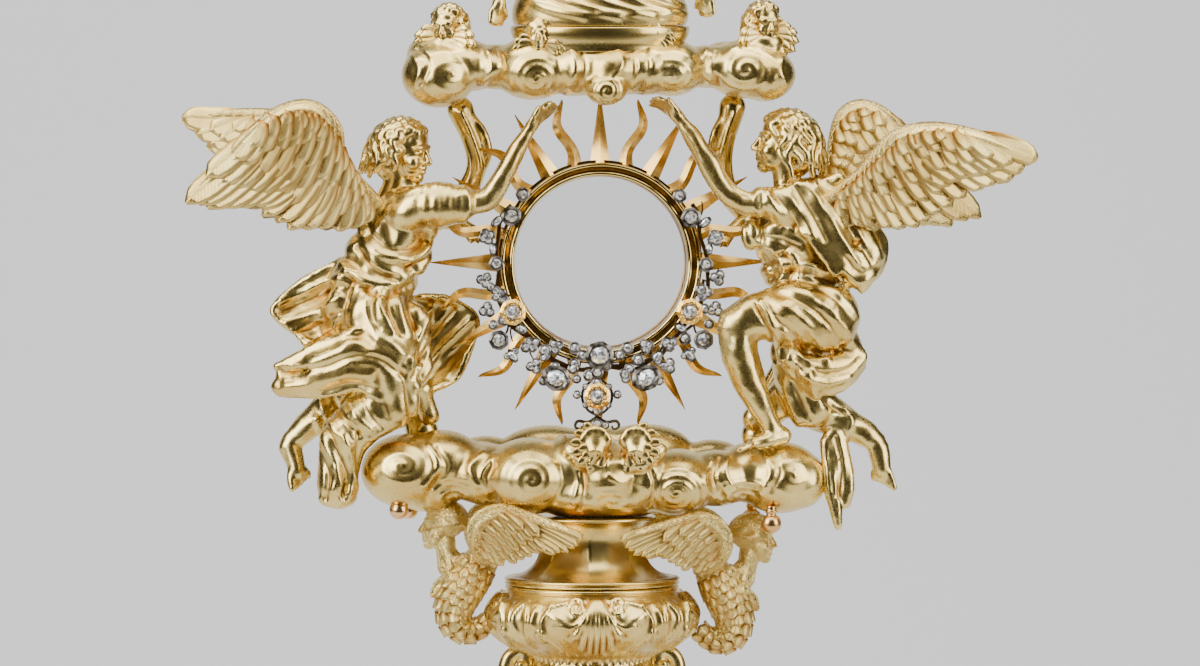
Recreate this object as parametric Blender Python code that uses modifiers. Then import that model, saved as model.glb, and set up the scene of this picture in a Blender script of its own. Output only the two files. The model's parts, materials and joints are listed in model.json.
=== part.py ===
"""A silver-gilt sun monstrance, modelled in metres with +Z up and the origin under the middle of its foot.

Two angels on a bank of clouds lift a second bank, which carries a crowning half figure. Between them stands
a sunburst of straight and waved rays round a glazed case, with a garland of small stones wired to its front.
Below come a waisted neck, a vase knop with two winged herms, a leaf calyx, a baluster and an oval foot.

Every size below is in millimetres and becomes metres when a piece is finished.
"""

import math

import bmesh
import bpy
import numpy as np
from mathutils import Euler, Matrix, Vector

MM = 0.001
GAP = 0.45  # left between two pieces that touch in the real object

# Driving dimensions
CASE_HEIGHT = 445.0  # centre of the glazed case above the table
CASE_RADIUS = 44.0  # outer rim of the case
SIGHT_RADIUS = 38.5  # clear opening of the case
CASE_DEPTH = 16.0
PANE_THICKNESS = 1.6
RAY_REACH = 76.0  # tips of the rays from the centre
RAY_COUNT = 24  # straight and waved, turn about
RAY_WIDTH = 4.3  # half a ray's width at its root
RAY_SWAY = 3.0
RAY_RIDGE = 1.4  # half a ray's thickness at its ridge
FOOT_WIDTH = 190.0
FOOT_DEPTH = 156.0
NECK_TOP = 333.5
BOWL_TOP = 303.5
BOWL_BOTTOM = 267.0
CALYX_BOTTOM = 232.0
BALUSTER_BOTTOM = 76.0
CLOUD_TOP = 549.0  # top of the collar on the upper bank of clouds
UPPER_SHIFT = 3.5  # the clouds and all above them stand this far to the right of the stem's axis
HERM_SHIFT = 2.6  # the pair of herms sits a little to the right too, and its right side hangs lower
HERM_TILT = 2.6  # degrees
NUT_RADIUS = 4.6  # the ball nuts screwed up under the clouds
WING_SPAN = 95.0  # from a wing's root to its furthest tip
WING_THICKNESS = 3.4
QUILL_TIP = 1.3  # radius of a quill at its end
QUILL_SAG = 1.5  # how far a quill bows down half way
GARLAND_REACH = 47.0  # the garland's stem from the case's centre
GARLAND_INSIDE, GARLAND_OUTSIDE = 44.5, 50.5  # its two rows of stones
GARLAND_PROUD = 2.6  # how far it stands in front of the case
GARLAND_STEM = 1.3  # radius

GOLD = (0.83, 0.62, 0.30)
DARK_SILVER = (0.30, 0.28, 0.27)
GLASS = (0.90, 0.93, 0.93)


# ---------------------------------------------------------------- scene and helpers


def clear_scene():
    for old in list(bpy.data.objects):
        bpy.data.objects.remove(old)


def make_material(name, colour, metallic, roughness):
    material = bpy.data.materials.new(name)
    material.use_nodes = True
    shader = material.node_tree.nodes["Principled BSDF"]
    shader.inputs["Base Color"].default_value = (*colour, 1.0)
    shader.inputs["Metallic"].default_value = metallic
    shader.inputs["Roughness"].default_value = roughness
    return material


def make_collection(name):
    collection = bpy.data.collections.new(name)
    bpy.context.scene.collection.children.link(collection)
    return collection


def smooth_path(points, steps):
    """A smooth curve through rows of numbers, such as (x, y, z, radius), with steps samples to each span."""
    rows = np.array(points, float)
    ends = np.vstack([2 * rows[0] - rows[1], rows, 2 * rows[-1] - rows[-2]])
    path = []
    for i in range(len(rows) - 1):
        a, b, c, d = ends[i : i + 4]
        for t in np.linspace(0, 1, steps, endpoint=False):
            cubic = (3 * b - a - 3 * c + d) * t**3
            path.append(0.5 * (2 * b + (c - a) * t + (2 * a - 5 * b + 4 * c - d) * t**2 + cubic))
    path.append(rows[-1])
    return np.array(path)


def template(create, **settings):
    """Corner points and faces of one primitive, as arrays."""
    bm = bmesh.new()
    create(bm, **settings)
    bmesh.ops.triangulate(bm, faces=bm.faces[:])
    points = np.array([v.co[:] for v in bm.verts])
    faces = np.array([[v.index for v in f.verts] for f in bm.faces])
    bm.free()
    return points, faces


BALL = template(bmesh.ops.create_icosphere, subdivisions=2, radius=1.0)
BAR = template(bmesh.ops.create_cone, cap_ends=True, segments=12, radius1=1.0, radius2=1.0, depth=1.0)


class Clay:
    """Overlapping balls and tapered bars, in millimetres, that a voxel remesh turns into one skin."""

    def __init__(self):
        self.points = []
        self.faces = []
        self.count = 0

    def add(self, points, faces):
        self.points.append(points)
        self.faces.append(faces + self.count)
        self.count += len(points)

    def ball(self, centre, radii, turn=(0, 0, 0)):
        radii = (radii,) * 3 if isinstance(radii, (int, float)) else radii
        spin = np.array(Euler([math.radians(a) for a in turn]).to_matrix())
        points, faces = BALL
        self.add((points * np.array(radii)) @ spin.T + np.array(centre), faces)

    def bar(self, start, end, radius_start, radius_end):
        start, end = Vector(start), Vector(end)
        along = end - start
        spin = np.array(along.to_track_quat("Z", "Y").to_matrix())
        points, faces = BAR
        share = points[:, 2:3] + 0.5
        radius = radius_start + (radius_end - radius_start) * share
        flat = np.hstack([points[:, :2] * radius, share * along.length])
        self.add(flat @ spin.T + np.array(start), faces)

    def limb(self, rows, steps=3):
        """A rounded limb through (x, y, z, radius) rows."""
        path = smooth_path(rows, steps)
        for a, b in zip(path, path[1:]):
            self.bar(a[:3], b[:3], a[3], b[3])
        for row in path:
            self.ball(row[:3], float(row[3]))

    def object(self, name):
        mesh = bpy.data.meshes.new(name)
        mesh.from_pydata(np.vstack(self.points).tolist(), [], np.vstack(self.faces).tolist())
        return link(bpy.data.objects.new(name, mesh))


def link(obj):
    bpy.context.scene.collection.objects.link(obj)
    return obj


def apply_modifiers(obj):
    """Bakes the object's modifiers into its mesh."""
    bpy.context.view_layer.update()
    graph = bpy.context.evaluated_depsgraph_get()
    mesh = bpy.data.meshes.new_from_object(obj.evaluated_get(graph))
    obj.modifiers.clear()
    obj.data = mesh
    return obj


def keep_largest(obj):
    """Drops the crumbs that a cut leaves, and keeps the one big body."""
    bm = bmesh.new()
    bm.from_mesh(obj.data)
    bmesh.ops.remove_doubles(bm, verts=bm.verts[:], dist=1e-4)
    bmesh.ops.dissolve_degenerate(bm, edges=bm.edges[:], dist=1e-3)
    seen, bodies = set(), []
    for start in bm.verts:
        if start in seen:
            continue
        body, queue = {start}, [start]
        while queue:
            for edge in queue.pop().link_edges:
                for vert in edge.verts:
                    if vert not in body:
                        body.add(vert)
                        queue.append(vert)
        seen |= body
        bodies.append(body)
    keep = max(bodies, key=len)
    bmesh.ops.delete(bm, geom=[v for v in bm.verts if v not in keep], context="VERTS")
    bm.to_mesh(obj.data)
    bm.free()
    return obj


def skin(obj, voxel, faces, smoothing=3):
    """One closed skin over overlapping shapes, thinned to about that many triangles."""
    remesh = obj.modifiers.new("skin", "REMESH")
    remesh.mode = "VOXEL"
    remesh.voxel_size = voxel
    soften = obj.modifiers.new("soften", "SMOOTH")
    soften.iterations = smoothing
    apply_modifiers(obj)
    thin = obj.modifiers.new("thin", "DECIMATE")
    thin.ratio = min(1.0, faces / (2 * len(obj.data.polygons)))
    return keep_largest(apply_modifiers(obj))


def boolean(obj, other, operation):
    cut = obj.modifiers.new(operation.lower(), "BOOLEAN")
    cut.operation = operation
    cut.object = other
    return apply_modifiers(obj)


def shift(obj, distance):
    """Moves an object's mesh sideways."""
    obj.data.transform(Matrix.Translation((distance, 0, 0)))
    return obj


def keep_clear(obj, *neighbours, gap=GAP):
    """Cuts the object back so that it stops a gap short of each neighbour."""
    for neighbour in neighbours:
        cutter = link(neighbour.copy())
        cutter.data = neighbour.data.copy()
        bm = bmesh.new()
        bm.from_mesh(cutter.data)
        bm.normal_update()
        moves = [(v, v.normal * gap * max(1.0, v.calc_shell_factor())) for v in bm.verts]
        for vert, move in moves:
            vert.co += move
        bm.to_mesh(cutter.data)
        bm.free()
        boolean(obj, cutter, "DIFFERENCE")
        bpy.data.objects.remove(cutter)
    return keep_largest(obj)


def turned(name, profile, steps, oval=1.0):
    """A solid of revolution. The profile's (radius, height) rows run from its top to its underside."""
    mesh = bpy.data.meshes.new(name)
    rows = [(0.0, profile[0][1]), *profile, (0.0, profile[-1][1])]
    corners = [(radius, 0.0, height) for radius, height in rows]
    mesh.from_pydata(corners, [(i, i + 1) for i in range(len(corners) - 1)], [])
    obj = link(bpy.data.objects.new(name, mesh))
    screw = obj.modifiers.new("turn", "SCREW")
    screw.steps = screw.render_steps = steps
    screw.use_merge_vertices = True
    screw.merge_threshold = 0.0001
    apply_modifiers(obj)
    obj.data.transform(Matrix.Diagonal((1.0, oval, 1.0, 1.0)))
    return obj


def lobe(obj, count, depth, low, high, phase=0.0):
    """Swells a turned shape into lobes between two heights, strongest half way."""
    for vert in obj.data.vertices:
        share = (vert.co.z - low) / (high - low)
        if 0 < share < 1:
            angle = math.atan2(vert.co.y, vert.co.x)
            wave = abs(math.cos(count / 2 * angle + phase)) - 0.6
            swell = 1 + depth * wave * math.sin(math.pi * share)
            vert.co.x *= swell
            vert.co.y *= swell
    return obj


def finish(obj, material, collection, smooth_angle=35):
    """Millimetres to metres, shading, material and place in the part's collection."""
    obj.data.transform(Matrix.Scale(MM, 4))
    obj.data.materials.clear()
    obj.data.materials.append(material)
    obj.data.shade_smooth()
    obj.data.set_sharp_from_angle(angle=math.radians(smooth_angle))
    bpy.context.scene.collection.objects.unlink(obj)
    collection.objects.link(obj)
    return obj


# ---------------------------------------------------------------- foot, stem and knop


def make_foot():
    """Oval stepped foot: flat rim, gadrooned shoulder, domed top."""
    half = FOOT_WIDTH / 2
    profile = [
        (14, BALUSTER_BOTTOM - GAP),
        (19, 66),
        (29, 57),
        (44, 50),
        (58, 39),
        (64, 34),
        (78, 27),
        (86, 18),
        (88, 12),
        (half, 9),
        (half, 0),
    ]
    foot = turned("foot", profile, 28, FOOT_DEPTH / FOOT_WIDTH)
    return lobe(foot, 14, 0.10, 12, 34)


def make_baluster():
    """Pear-shaped stem between two beaded collars."""
    profile = [
        (16.5, CALYX_BOTTOM - GAP),
        (16.5, CALYX_BOTTOM - 5),
        (9, 218),
        (9, 210),
        (20, 194),
        (25, 181),
        (23, 165),
        (12, 137),
        (8.5, 123),
        (9, 115),
        (16.5, 109),
        (16.5, 103),
        (9.5, 96),
        (11, 88),
        (16, 82),
        (15, BALUSTER_BOTTOM),
    ]
    return lobe(turned("stem_baluster", profile, 16), 8, 0.12, 137, 210)


def make_calyx():
    """Leaf cup that carries the vase knop."""
    profile = [
        (25.5, BOWL_BOTTOM - GAP),
        (24.5, 260),
        (19, 247),
        (14, 238),
        (13.5, CALYX_BOTTOM),
    ]
    return lobe(turned("leaf_calyx", profile, 20), 10, 0.12, 234, 266)


def make_bowl():
    """Squat vase knop with swelling lobes under a moulded rim."""
    profile = [
        (38, BOWL_TOP - GAP),
        (38, 299),
        (45.5, 295.5),
        (47.6, 290),
        (46, 284),
        (39, 276.5),
        (28, 270.5),
        (26.5, BOWL_BOTTOM),
    ]
    return lobe(turned("vase_knop", profile, 28), 14, 0.05, 272, 299)


def make_neck():
    """Waisted neck with soft facets, from the vase knop up to the clouds."""
    profile = [
        (27, NECK_TOP),
        (26.5, NECK_TOP - 2.5),
        (22.3, 325),
        (22.5, 317),
        (26.5, 310.5),
        (32, 307.2),
        (38.8, 306),
        (38, BOWL_TOP),
    ]
    return lobe(turned("waisted_neck", profile, 16), 8, 0.05, 307, 332)


def make_scroll(name, side):
    """C-scroll bracket under the knop."""
    rows = [(25, 0, 272, 2.5), (32, 0, 274, 4), (37.5, 0, 268, 4.2), (37, 0, 258, 3.8), (31, 0, 249, 3.2)]
    rows += [(25, 0, 244, 2.8), (20, 0, 240, 2.6), (16, 0, 238, 2.6)]
    clay = Clay()
    clay.limb([(side * x, y, z, r) for x, y, z, r in rows])
    clay.ball((side * 29, 0, 268), (3.4, 4.4, 3.4))
    return skin(clay.object(name), 0.8, 100)


def make_herm(name, side):
    """Winged half figure: bust in profile, arched wings laid round the neck, feathered tail scroll."""
    clay = Clay()
    clay.ball((side * 66.5, 0, 325), (9.4, 8.2, 9.2), (0, side * 20, 0))
    clay.ball((side * 70.5, 0, 320.5), (6.8, 6, 8), (0, side * 12, 0))
    clay.ball((side * 58.5, 0, 326), (4.6, 4.4, 5))
    clay.ball((side * 76.6, 0, 321), (2, 1.6, 2.2))
    clay.limb([(side * 66, 0, 315, 5), (side * 61, 0, 310, 4.8), (side * 58, 0, 303, 6.5)])
    body = [(50, 0, 315, 6), (53.5, 0, 308, 7.5), (58.5, 0, 299, 7.5), (62.5, 0, 291, 6.5), (62, 0, 283.5, 6)]
    body += [(56, 0, 279, 5), (50, 0, 279.5, 4.2), (47, 0, 283, 3.2)]
    clay.limb([(side * x, y, z, r) for x, y, z, r in body])
    for depth in (-1, 1):
        wing = [(50, 6, 314, 6), (51, 11, 321, 6), (48, 15, 328, 6), (39, 21, 329, 6)]
        wing += [(28, 26, 326, 5.5), (18, 28, 323.5, 5), (10, 28.5, 323, 3.4)]
        clay.limb([(side * x, depth * y, z, r) for x, y, z, r in wing])
        clay.limb([(side * 43, depth * 15, 320, 5), (side * 30, depth * 24, 319, 3.6)])
    herm = skin(clay.object(name), 0.9, 290)
    pivot = Vector((0, 0, 325))
    tilt = Matrix.Rotation(math.radians(HERM_TILT), 4, "Y")
    herm.data.transform(Matrix.Translation(pivot) @ tilt @ Matrix.Translation(-pivot))
    return shift(herm, HERM_SHIFT)


# ---------------------------------------------------------------- clouds, balls and struts

LOWER_BANK = [
    ((-84, -2, 353), (22, 20, 18)),
    ((-70, 1, 355), (20, 19, 16)),
    ((-51, 0, 354), (17, 16, 13)),
    ((-31, -7, 351), (22, 25, 17.5)),
    ((0, -6, 352), (24, 29, 18)),
    ((31, -7, 349), (21, 25, 16)),
    ((52, 0, 351), (15, 15, 11)),
    ((66, 0, 351), (15, 18, 14)),
    ((79, -2, 350), (20.5, 20, 17)),
    ((-22, 14, 359), (22, 17, 13)),
    ((20, 14, 361), (22, 16, 12.5)),
]
UPPER_BANK = [
    ((-71, -4, 528), (17, 18, 15.5)),
    ((-60, 2, 533), (14, 15, 11)),
    ((-44, -2, 532), (12, 12, 10)),
    ((-30, -8, 531), (19, 20, 14.5)),
    ((0, -8, 530), (23, 22, 13.5)),
    ((27, -8, 531), (20, 20, 13.5)),
    ((46, 0, 532), (12, 11, 9)),
    ((66, -4, 528), (19.5, 18, 14.5)),
    ((-24, 12, 532), (20, 16, 13)),
    ((20, 12, 532), (20, 16, 13)),
]
CHERUB_HEADS = [
    ((-67, -3, 549), 8.6),
    ((-28.5, -17, 545), 7.6),
    ((1.5, -25, 522), 8.2),
    ((72, -4, 548), 8.6),
    ((62, -1, 544), 9.5),
]


def make_lower_cloud():
    clay = Clay()
    for centre, radii in LOWER_BANK:
        clay.ball(centre, radii)
    for side in (-1, 1):
        clay.ball((5 + side * 9, -25, 366), (8, 7.5, 7.5))
        clay.limb([(5, -29, 356, 2.5), (5 + side * 12, -31, 356, 3.5), (5 + side * 20, -26, 364, 3)])
    return skin(clay.object("cloud_lower"), 1.4, 600)


def make_upper_cloud():
    clay = Clay()
    for centre, radii in UPPER_BANK:
        clay.ball(centre, radii)
    for centre, radius in CHERUB_HEADS:
        clay.ball(centre, radius)
    clay.limb([(-20, -18, 540, 4), (-30, -22, 538, 4), (-38, -18, 540, 3.5)])
    clay.limb([(58, -12, 542, 4), (66, -10, 548, 4), (74, -8, 546, 4)])
    return skin(clay.object("cloud_upper"), 1.4, 500)


def make_collar():
    """Flat oval collar that the crowning figure stands on."""
    profile = [(38.6, CLOUD_TOP), (39.4, CLOUD_TOP - 2), (37, 538)]
    return turned("crown_collar", profile, 24, 0.7)


def make_ball_nut(name, centre):
    """Ball nut with its short neck, screwed up under the clouds."""
    clay = Clay()
    clay.ball(centre, NUT_RADIUS)
    clay.bar(centre, (centre[0], centre[1], centre[2] + NUT_RADIUS + 3), 2.2, 2.2)
    return skin(clay.object(name), 0.7, 50, 1)


LEFT_STRUT = [(-78, 12, 370, 8), (-84, 20, 386, 5.5), (-92, 26, 406, 5), (-94, 27, 430, 5)]
LEFT_STRUT += [(-86, 24, 450, 5), (-73, 20, 463, 5), (-60, 15, 474, 5), (-54, 12, 486, 4.5)]
LEFT_STRUT += [(-56, 11, 498, 4.5), (-61, 10, 514, 6.5)]
RIGHT_STRUT = [(70, 12, 368, 7.5), (76, 20, 386, 5.5), (86, 26, 406, 5), (88, 27, 430, 5)]
RIGHT_STRUT += [(80, 24, 450, 5), (68, 20, 463, 5), (58, 16, 474, 5), (55, 13, 486, 4.5)]
RIGHT_STRUT += [(56, 11, 498, 4.5), (59, 10, 515, 6.5)]


def make_strut(name, rows):
    """Twisting column of cast drapery between the two banks."""
    clay = Clay()
    clay.limb(rows)
    return skin(clay.object(name), 1.2, 130)


# ---------------------------------------------------------------- sunburst, case and stones


def level_ring(name, profile, steps):
    """A closed (radius, height) section turned about the case's own axis, which runs front to back."""
    count = len(profile)
    mesh = bpy.data.meshes.new(name)
    mesh.from_pydata([(r, 0, z) for r, z in profile], [(i, (i + 1) % count) for i in range(count)], [])
    obj = link(bpy.data.objects.new(name, mesh))
    screw = obj.modifiers.new("turn", "SCREW")
    screw.steps = screw.render_steps = steps
    screw.use_merge_vertices = True
    screw.merge_threshold = 0.0001
    apply_modifiers(obj)
    turn = Matrix.Translation((0, 0, CASE_HEIGHT)) @ Matrix.Rotation(math.radians(90), 4, "X")
    obj.data.transform(turn)
    bm = bmesh.new()
    bm.from_mesh(obj.data)
    bmesh.ops.recalc_face_normals(bm, faces=bm.faces[:])
    bm.to_mesh(obj.data)
    bm.free()
    return obj


def make_ray(angle, waved):
    """One ray with a sharp ridge front and back: a flat curve swept with a lozenge section, then stood up."""
    root, tip = CASE_RADIUS - 0.9, RAY_REACH
    count = 6 if waved else 2
    data = bpy.data.curves.new("ray", "CURVE")
    data.dimensions = "2D"
    spline = data.splines.new("POLY")
    spline.points.add(count - 1)
    for i, point in enumerate(spline.points):
        share = i / (count - 1)
        sway = RAY_SWAY * math.sin(2.5 * math.pi * share) if waved else 0.0
        point.co = (root + (tip - root) * share, sway, 0, 1)
        point.radius = max(0.07, (1 - share) ** 0.7 if waved else 1 - share)
    lozenge = bpy.data.curves.new("lozenge", "CURVE")
    section = lozenge.splines.new("POLY")
    section.points.add(3)
    corners = [(RAY_WIDTH, 0), (0, RAY_RIDGE), (-RAY_WIDTH, 0), (0, -RAY_RIDGE)]
    for point, corner in zip(section.points, corners):
        point.co = (*corner, 0, 1)
    section.use_cyclic_u = True
    shape = link(bpy.data.objects.new("lozenge", lozenge))
    data.bevel_mode = "OBJECT"
    data.bevel_object = shape
    data.use_fill_caps = True
    curve = link(bpy.data.objects.new("ray_curve", data))
    bpy.context.view_layer.update()
    graph = bpy.context.evaluated_depsgraph_get()
    mesh = bpy.data.meshes.new_from_object(curve.evaluated_get(graph))
    bpy.data.objects.remove(curve)
    bpy.data.objects.remove(shape)
    stand = Matrix.Translation((0, 0, CASE_HEIGHT)) @ Matrix.Rotation(-angle, 4, "Y")
    mesh.transform(stand @ Matrix.Rotation(math.radians(90), 4, "X"))
    bm = bmesh.new()
    bm.from_mesh(mesh)
    bmesh.ops.remove_doubles(bm, verts=bm.verts[:], dist=1e-4)
    bmesh.ops.recalc_face_normals(bm, faces=bm.faces[:])
    bm.to_mesh(mesh)
    bm.free()
    return link(bpy.data.objects.new("ray", mesh))


def make_sunburst():
    """Rays joined to the flat ring that holds the case."""
    outer, inner = CASE_RADIUS - 0.3, CASE_RADIUS - 3.1
    burst = level_ring("sunburst", [(outer, 1.5), (outer, -1.5), (inner, -1.5), (inner, 1.5)], 40)
    bm = bmesh.new()
    for i in range(RAY_COUNT):
        ray = make_ray(2 * math.pi * i / RAY_COUNT, waved=i % 2 == 1)
        bm.from_mesh(ray.data)
        bpy.data.objects.remove(ray)
    mesh = bpy.data.meshes.new("rays")
    bm.to_mesh(mesh)
    bm.free()
    rays = link(bpy.data.objects.new("rays", mesh))
    boolean(burst, rays, "UNION")
    bpy.data.objects.remove(rays)
    return keep_largest(burst)


def make_case():
    """Round glazed case: a front rim that covers the sunburst's ring, and a drum behind it."""
    profile = [
        (SIGHT_RADIUS, CASE_DEPTH / 2),
        (SIGHT_RADIUS, -CASE_DEPTH / 2),
        (CASE_RADIUS - 3.6, -CASE_DEPTH / 2),
        (CASE_RADIUS - 3.6, 1.9),
        (CASE_RADIUS, 1.9),
        (CASE_RADIUS, 5.6),
        (CASE_RADIUS - 2.0, CASE_DEPTH / 2),
    ]
    return level_ring("glazed_case", profile, 32)


def make_pane(name, depth):
    """Round glass pane, a hair smaller than the opening."""
    bm = bmesh.new()
    place = Matrix.Translation((0, depth, CASE_HEIGHT)) @ Matrix.Rotation(math.radians(90), 4, "X")
    radius = SIGHT_RADIUS - GAP
    bmesh.ops.create_cone(
        bm, cap_ends=True, segments=28, radius1=radius, radius2=radius, depth=PANE_THICKNESS, matrix=place
    )
    mesh = bpy.data.meshes.new(name)
    bm.to_mesh(mesh)
    bm.free()
    return link(bpy.data.objects.new(name, mesh))


GARLAND_START, GARLAND_END = math.radians(146), math.radians(394)
GARLAND_STONES = 26


def make_garland():
    """Stem wired along the case's front rim, with stones set in turn inside and outside it."""
    clay = Clay()
    depth = -CASE_DEPTH / 2 - GARLAND_PROUD
    stem = []
    for i in range(33):
        angle = GARLAND_START + (GARLAND_END - GARLAND_START) * i / 32
        reach = GARLAND_REACH + 0.8 * math.sin(9 * angle)
        stem.append((reach * math.cos(angle), depth, CASE_HEIGHT + reach * math.sin(angle), GARLAND_STEM))
    clay.limb(stem, 2)
    for i in range(GARLAND_STONES):
        angle = GARLAND_START + (GARLAND_END - GARLAND_START) * i / (GARLAND_STONES - 1)
        reach = GARLAND_INSIDE if i % 2 else GARLAND_OUTSIDE
        low = math.exp(-(((angle - 1.5 * math.pi) / 0.9) ** 2))
        radius = 2.3 + 1.0 * low
        place = (reach * math.cos(angle), depth - 0.6, CASE_HEIGHT + reach * math.sin(angle))
        clay.ball(place, (radius, 1.9, radius))
        near = (GARLAND_REACH * math.cos(angle), depth, CASE_HEIGHT + GARLAND_REACH * math.sin(angle))
        clay.bar(near, place, GARLAND_STEM, GARLAND_STEM)
    return skin(clay.object("jewel_garland"), 0.6, 480, 2)


def make_pendant():
    """Stone drop that hangs in the middle below the case."""
    clay = Clay()
    depth = -CASE_DEPTH / 2 - 3.0
    clay.ball((-1.5, depth - 1.0, 387), (3.6, 2.4, 4.4))
    clay.ball((-1.5, depth - 0.6, 378), (2.2, 1.8, 2.4))
    clay.limb([(-1.5, depth, 392, 1.1), (3.6, depth, 387, 1.1), (-1, depth, 374, 1.1)])
    clay.limb([(-1.5, depth, 392, 1.1), (-6.4, depth, 387, 1.1), (-1, depth, 374, 1.1)])
    clay.ball((-8.4, depth, 388.5), 1.5)
    clay.ball((6.4, depth, 388.5), 1.5)
    clay.limb([(5.4, depth, 388, 0.9), (3.4, depth, 386, 0.9)])
    clay.limb([(-7.4, depth, 388, 0.9), (-5.6, depth, 386, 0.9)])
    clay.limb([(-9, depth - 2, 373.4, 1.7), (-2, depth - 2, 374, 1.0), (4, depth - 2, 372.6, 1.0)])
    clay.ball((-1.2, depth - 1, 374), 1.8)
    return skin(clay.object("jewel_pendant"), 0.45, 180, 1)


# ---------------------------------------------------------------- figures and wings

LEFT_BODY = [
    [(-99, -1, 424, 15), (-94, -2, 437, 12.5), (-90, -3, 447, 11.5), (-86, -3, 459, 13), (-82, -3, 468, 11)],
    [(-82, -3, 472, 5.5), (-83.5, -4, 482, 5.2)],
    [(-78, -13, 468, 7.5), (-62, -15.5, 469, 6.6), (-48, -15.5, 473, 4.4)],
    [(-48, -15.5, 473, 4.4), (-40, -15, 487, 4.2), (-32.5, -14, 502, 3.0)],
    [(-32.5, -14, 502, 3.0), (-28, -13, 509, 3.4), (-20, -12, 514, 2.2)],
    [(-84, 9, 469, 7), (-70, 12, 464.5, 5), (-60, 10, 460.5, 3.6), (-53, 6, 456, 2.4)],
    [(-97, -7, 424, 12.5), (-92, -10, 405, 12), (-86.5, -11, 389, 9.5)],
    [(-86.5, -11, 389, 9.5), (-99, -11, 375, 9), (-112, -10, 360, 7)],
    [(-112, -10, 360, 7), (-119, -11, 348, 5.4), (-119, -13, 340, 4.4)],
    [(-101, 8, 424, 12), (-103, 12, 406, 10.5), (-106, 13, 391, 9)],
    [(-106, 13, 391, 9), (-122, 12, 376, 5), (-135, 11, 370, 3.8)],
    [(-135, 11, 370, 3.8), (-134.5, 9.5, 361, 3.4), (-131, 7, 348, 2.5)],
]
LEFT_CLOTH = [
    [(-100, 8, 436, 7), (-120, 11, 438, 8), (-136, 10, 427, 6.5), (-143, 8, 419, 3.5)],
    [(-112, 8, 425, 8), (-128, 9, 419, 7), (-141, 8, 418, 4)],
    [(-78, -8, 407, 5), (-90, -17, 414, 6), (-104, -18, 404, 6.5), (-122, -12, 392, 7), (-139, -8, 392, 6.5)],
    [(-104, -6, 396, 8), (-124, -4, 398, 7), (-139, -5, 400, 5)],
    [(-76, 2, 446, 7), (-74, 2, 425, 7), (-76, 0, 404, 7)],
    [(-74, 6, 420, 5), (-64, 11, 418, 4), (-52, 13, 414, 3)],
    [(-74, 6, 405, 5), (-66, 10, 398, 4), (-56, 12, 402, 3)],
]
RIGHT_BODY = [
    [(94, 0, 421, 15.5), (90, -1, 434, 13), (87, -2, 446, 12.5), (85, -2, 458, 13.5), (84, -3, 467, 11)],
    [(84, -3, 472, 5.8), (83, -4, 482, 5.4)],
    [(80, -13, 467, 7.5), (67, -15.5, 472, 6), (55, -16, 475, 4.8)],
    [(55, -16, 475, 4.8), (46, -15, 490, 4.2), (38, -14, 505, 3.0)],
    [(38, -14, 505, 3.0), (34, -13, 512, 3.4), (24, -12, 515.5, 2.2)],
    [(88, 9, 468, 7), (72, 13, 464.5, 5), (61, 11, 459.5, 3.6), (53, 6.6, 455, 2.4)],
    [(93, -9, 420, 12.5), (76, -13, 422, 10.5), (60, -15, 418, 8)],
    [(60, -15, 418, 8), (63, -14.5, 402, 7), (70, -13, 385, 5.2), (75.5, -12, 373, 4)],
    [(79, -11, 369, 4), (72, -15, 368, 3.8), (63, -20, 365, 2.8)],
    [(96, 7, 420, 13), (93, 7, 400, 12), (90, 5, 384, 9.5)],
    [(90, 5, 381, 9), (103, 2, 374, 6.6), (116, 0, 368.5, 4.2), (121, 0, 367.5, 3.8)],
    [(121, 0, 367, 3.8), (122.5, -1, 358, 3.6), (124.5, -2, 346, 2.6)],
]
RIGHT_CLOTH = [
    [(74, -14, 452, 6), (88, -16, 446, 6), (102, -12, 438, 7), (113, -6, 436, 6)],
    [(96, -10, 468, 7), (108, -8, 458, 8), (119, -6, 446, 7), (118, -6, 436, 6)],
    [(86, -10, 430, 12), (104, -8, 420, 12), (111, -6, 404, 9)],
    [(84, -14, 412, 7), (98, -13, 400, 8), (112, -9, 393, 6.5)],
    [(80, -10, 400, 6), (90, -6, 388, 9), (100, -5, 378, 8.5), (106, -4, 372, 7)],
    [(104, -2, 368, 5.5), (106, -4, 352, 5), (108, -6, 340, 4)],
    [(100, -4, 362, 4), (102, -7, 345, 4.5), (104.5, -8, 330, 3)],
]


def make_figure(name, limbs, head_place, head_turn, faces):
    """Draped figure as one casting: trunk, limbs and cloth, with a head and its hair."""
    clay = Clay()
    for rows in limbs:
        clay.limb(rows)
    x, y, z = head_place
    facing = math.copysign(1, head_turn)
    clay.ball((x - facing * 1.5, y, z + 1.5), (11.5, 10.5, 12), (0, head_turn, 0))
    clay.ball((x + facing * 4.5, y - 1, z - 3.5), (7.2, 6.8, 9.8), (0, head_turn, 0))
    clay.ball((x + facing * 12.2, y - 1.5, z - 2), (2.0, 1.6, 2.6), (0, head_turn, 0))
    clay.ball((x - facing * 3, y, z - 9), (7.5, 8, 6))
    return skin(clay.object(name), 1.1, faces)


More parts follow.
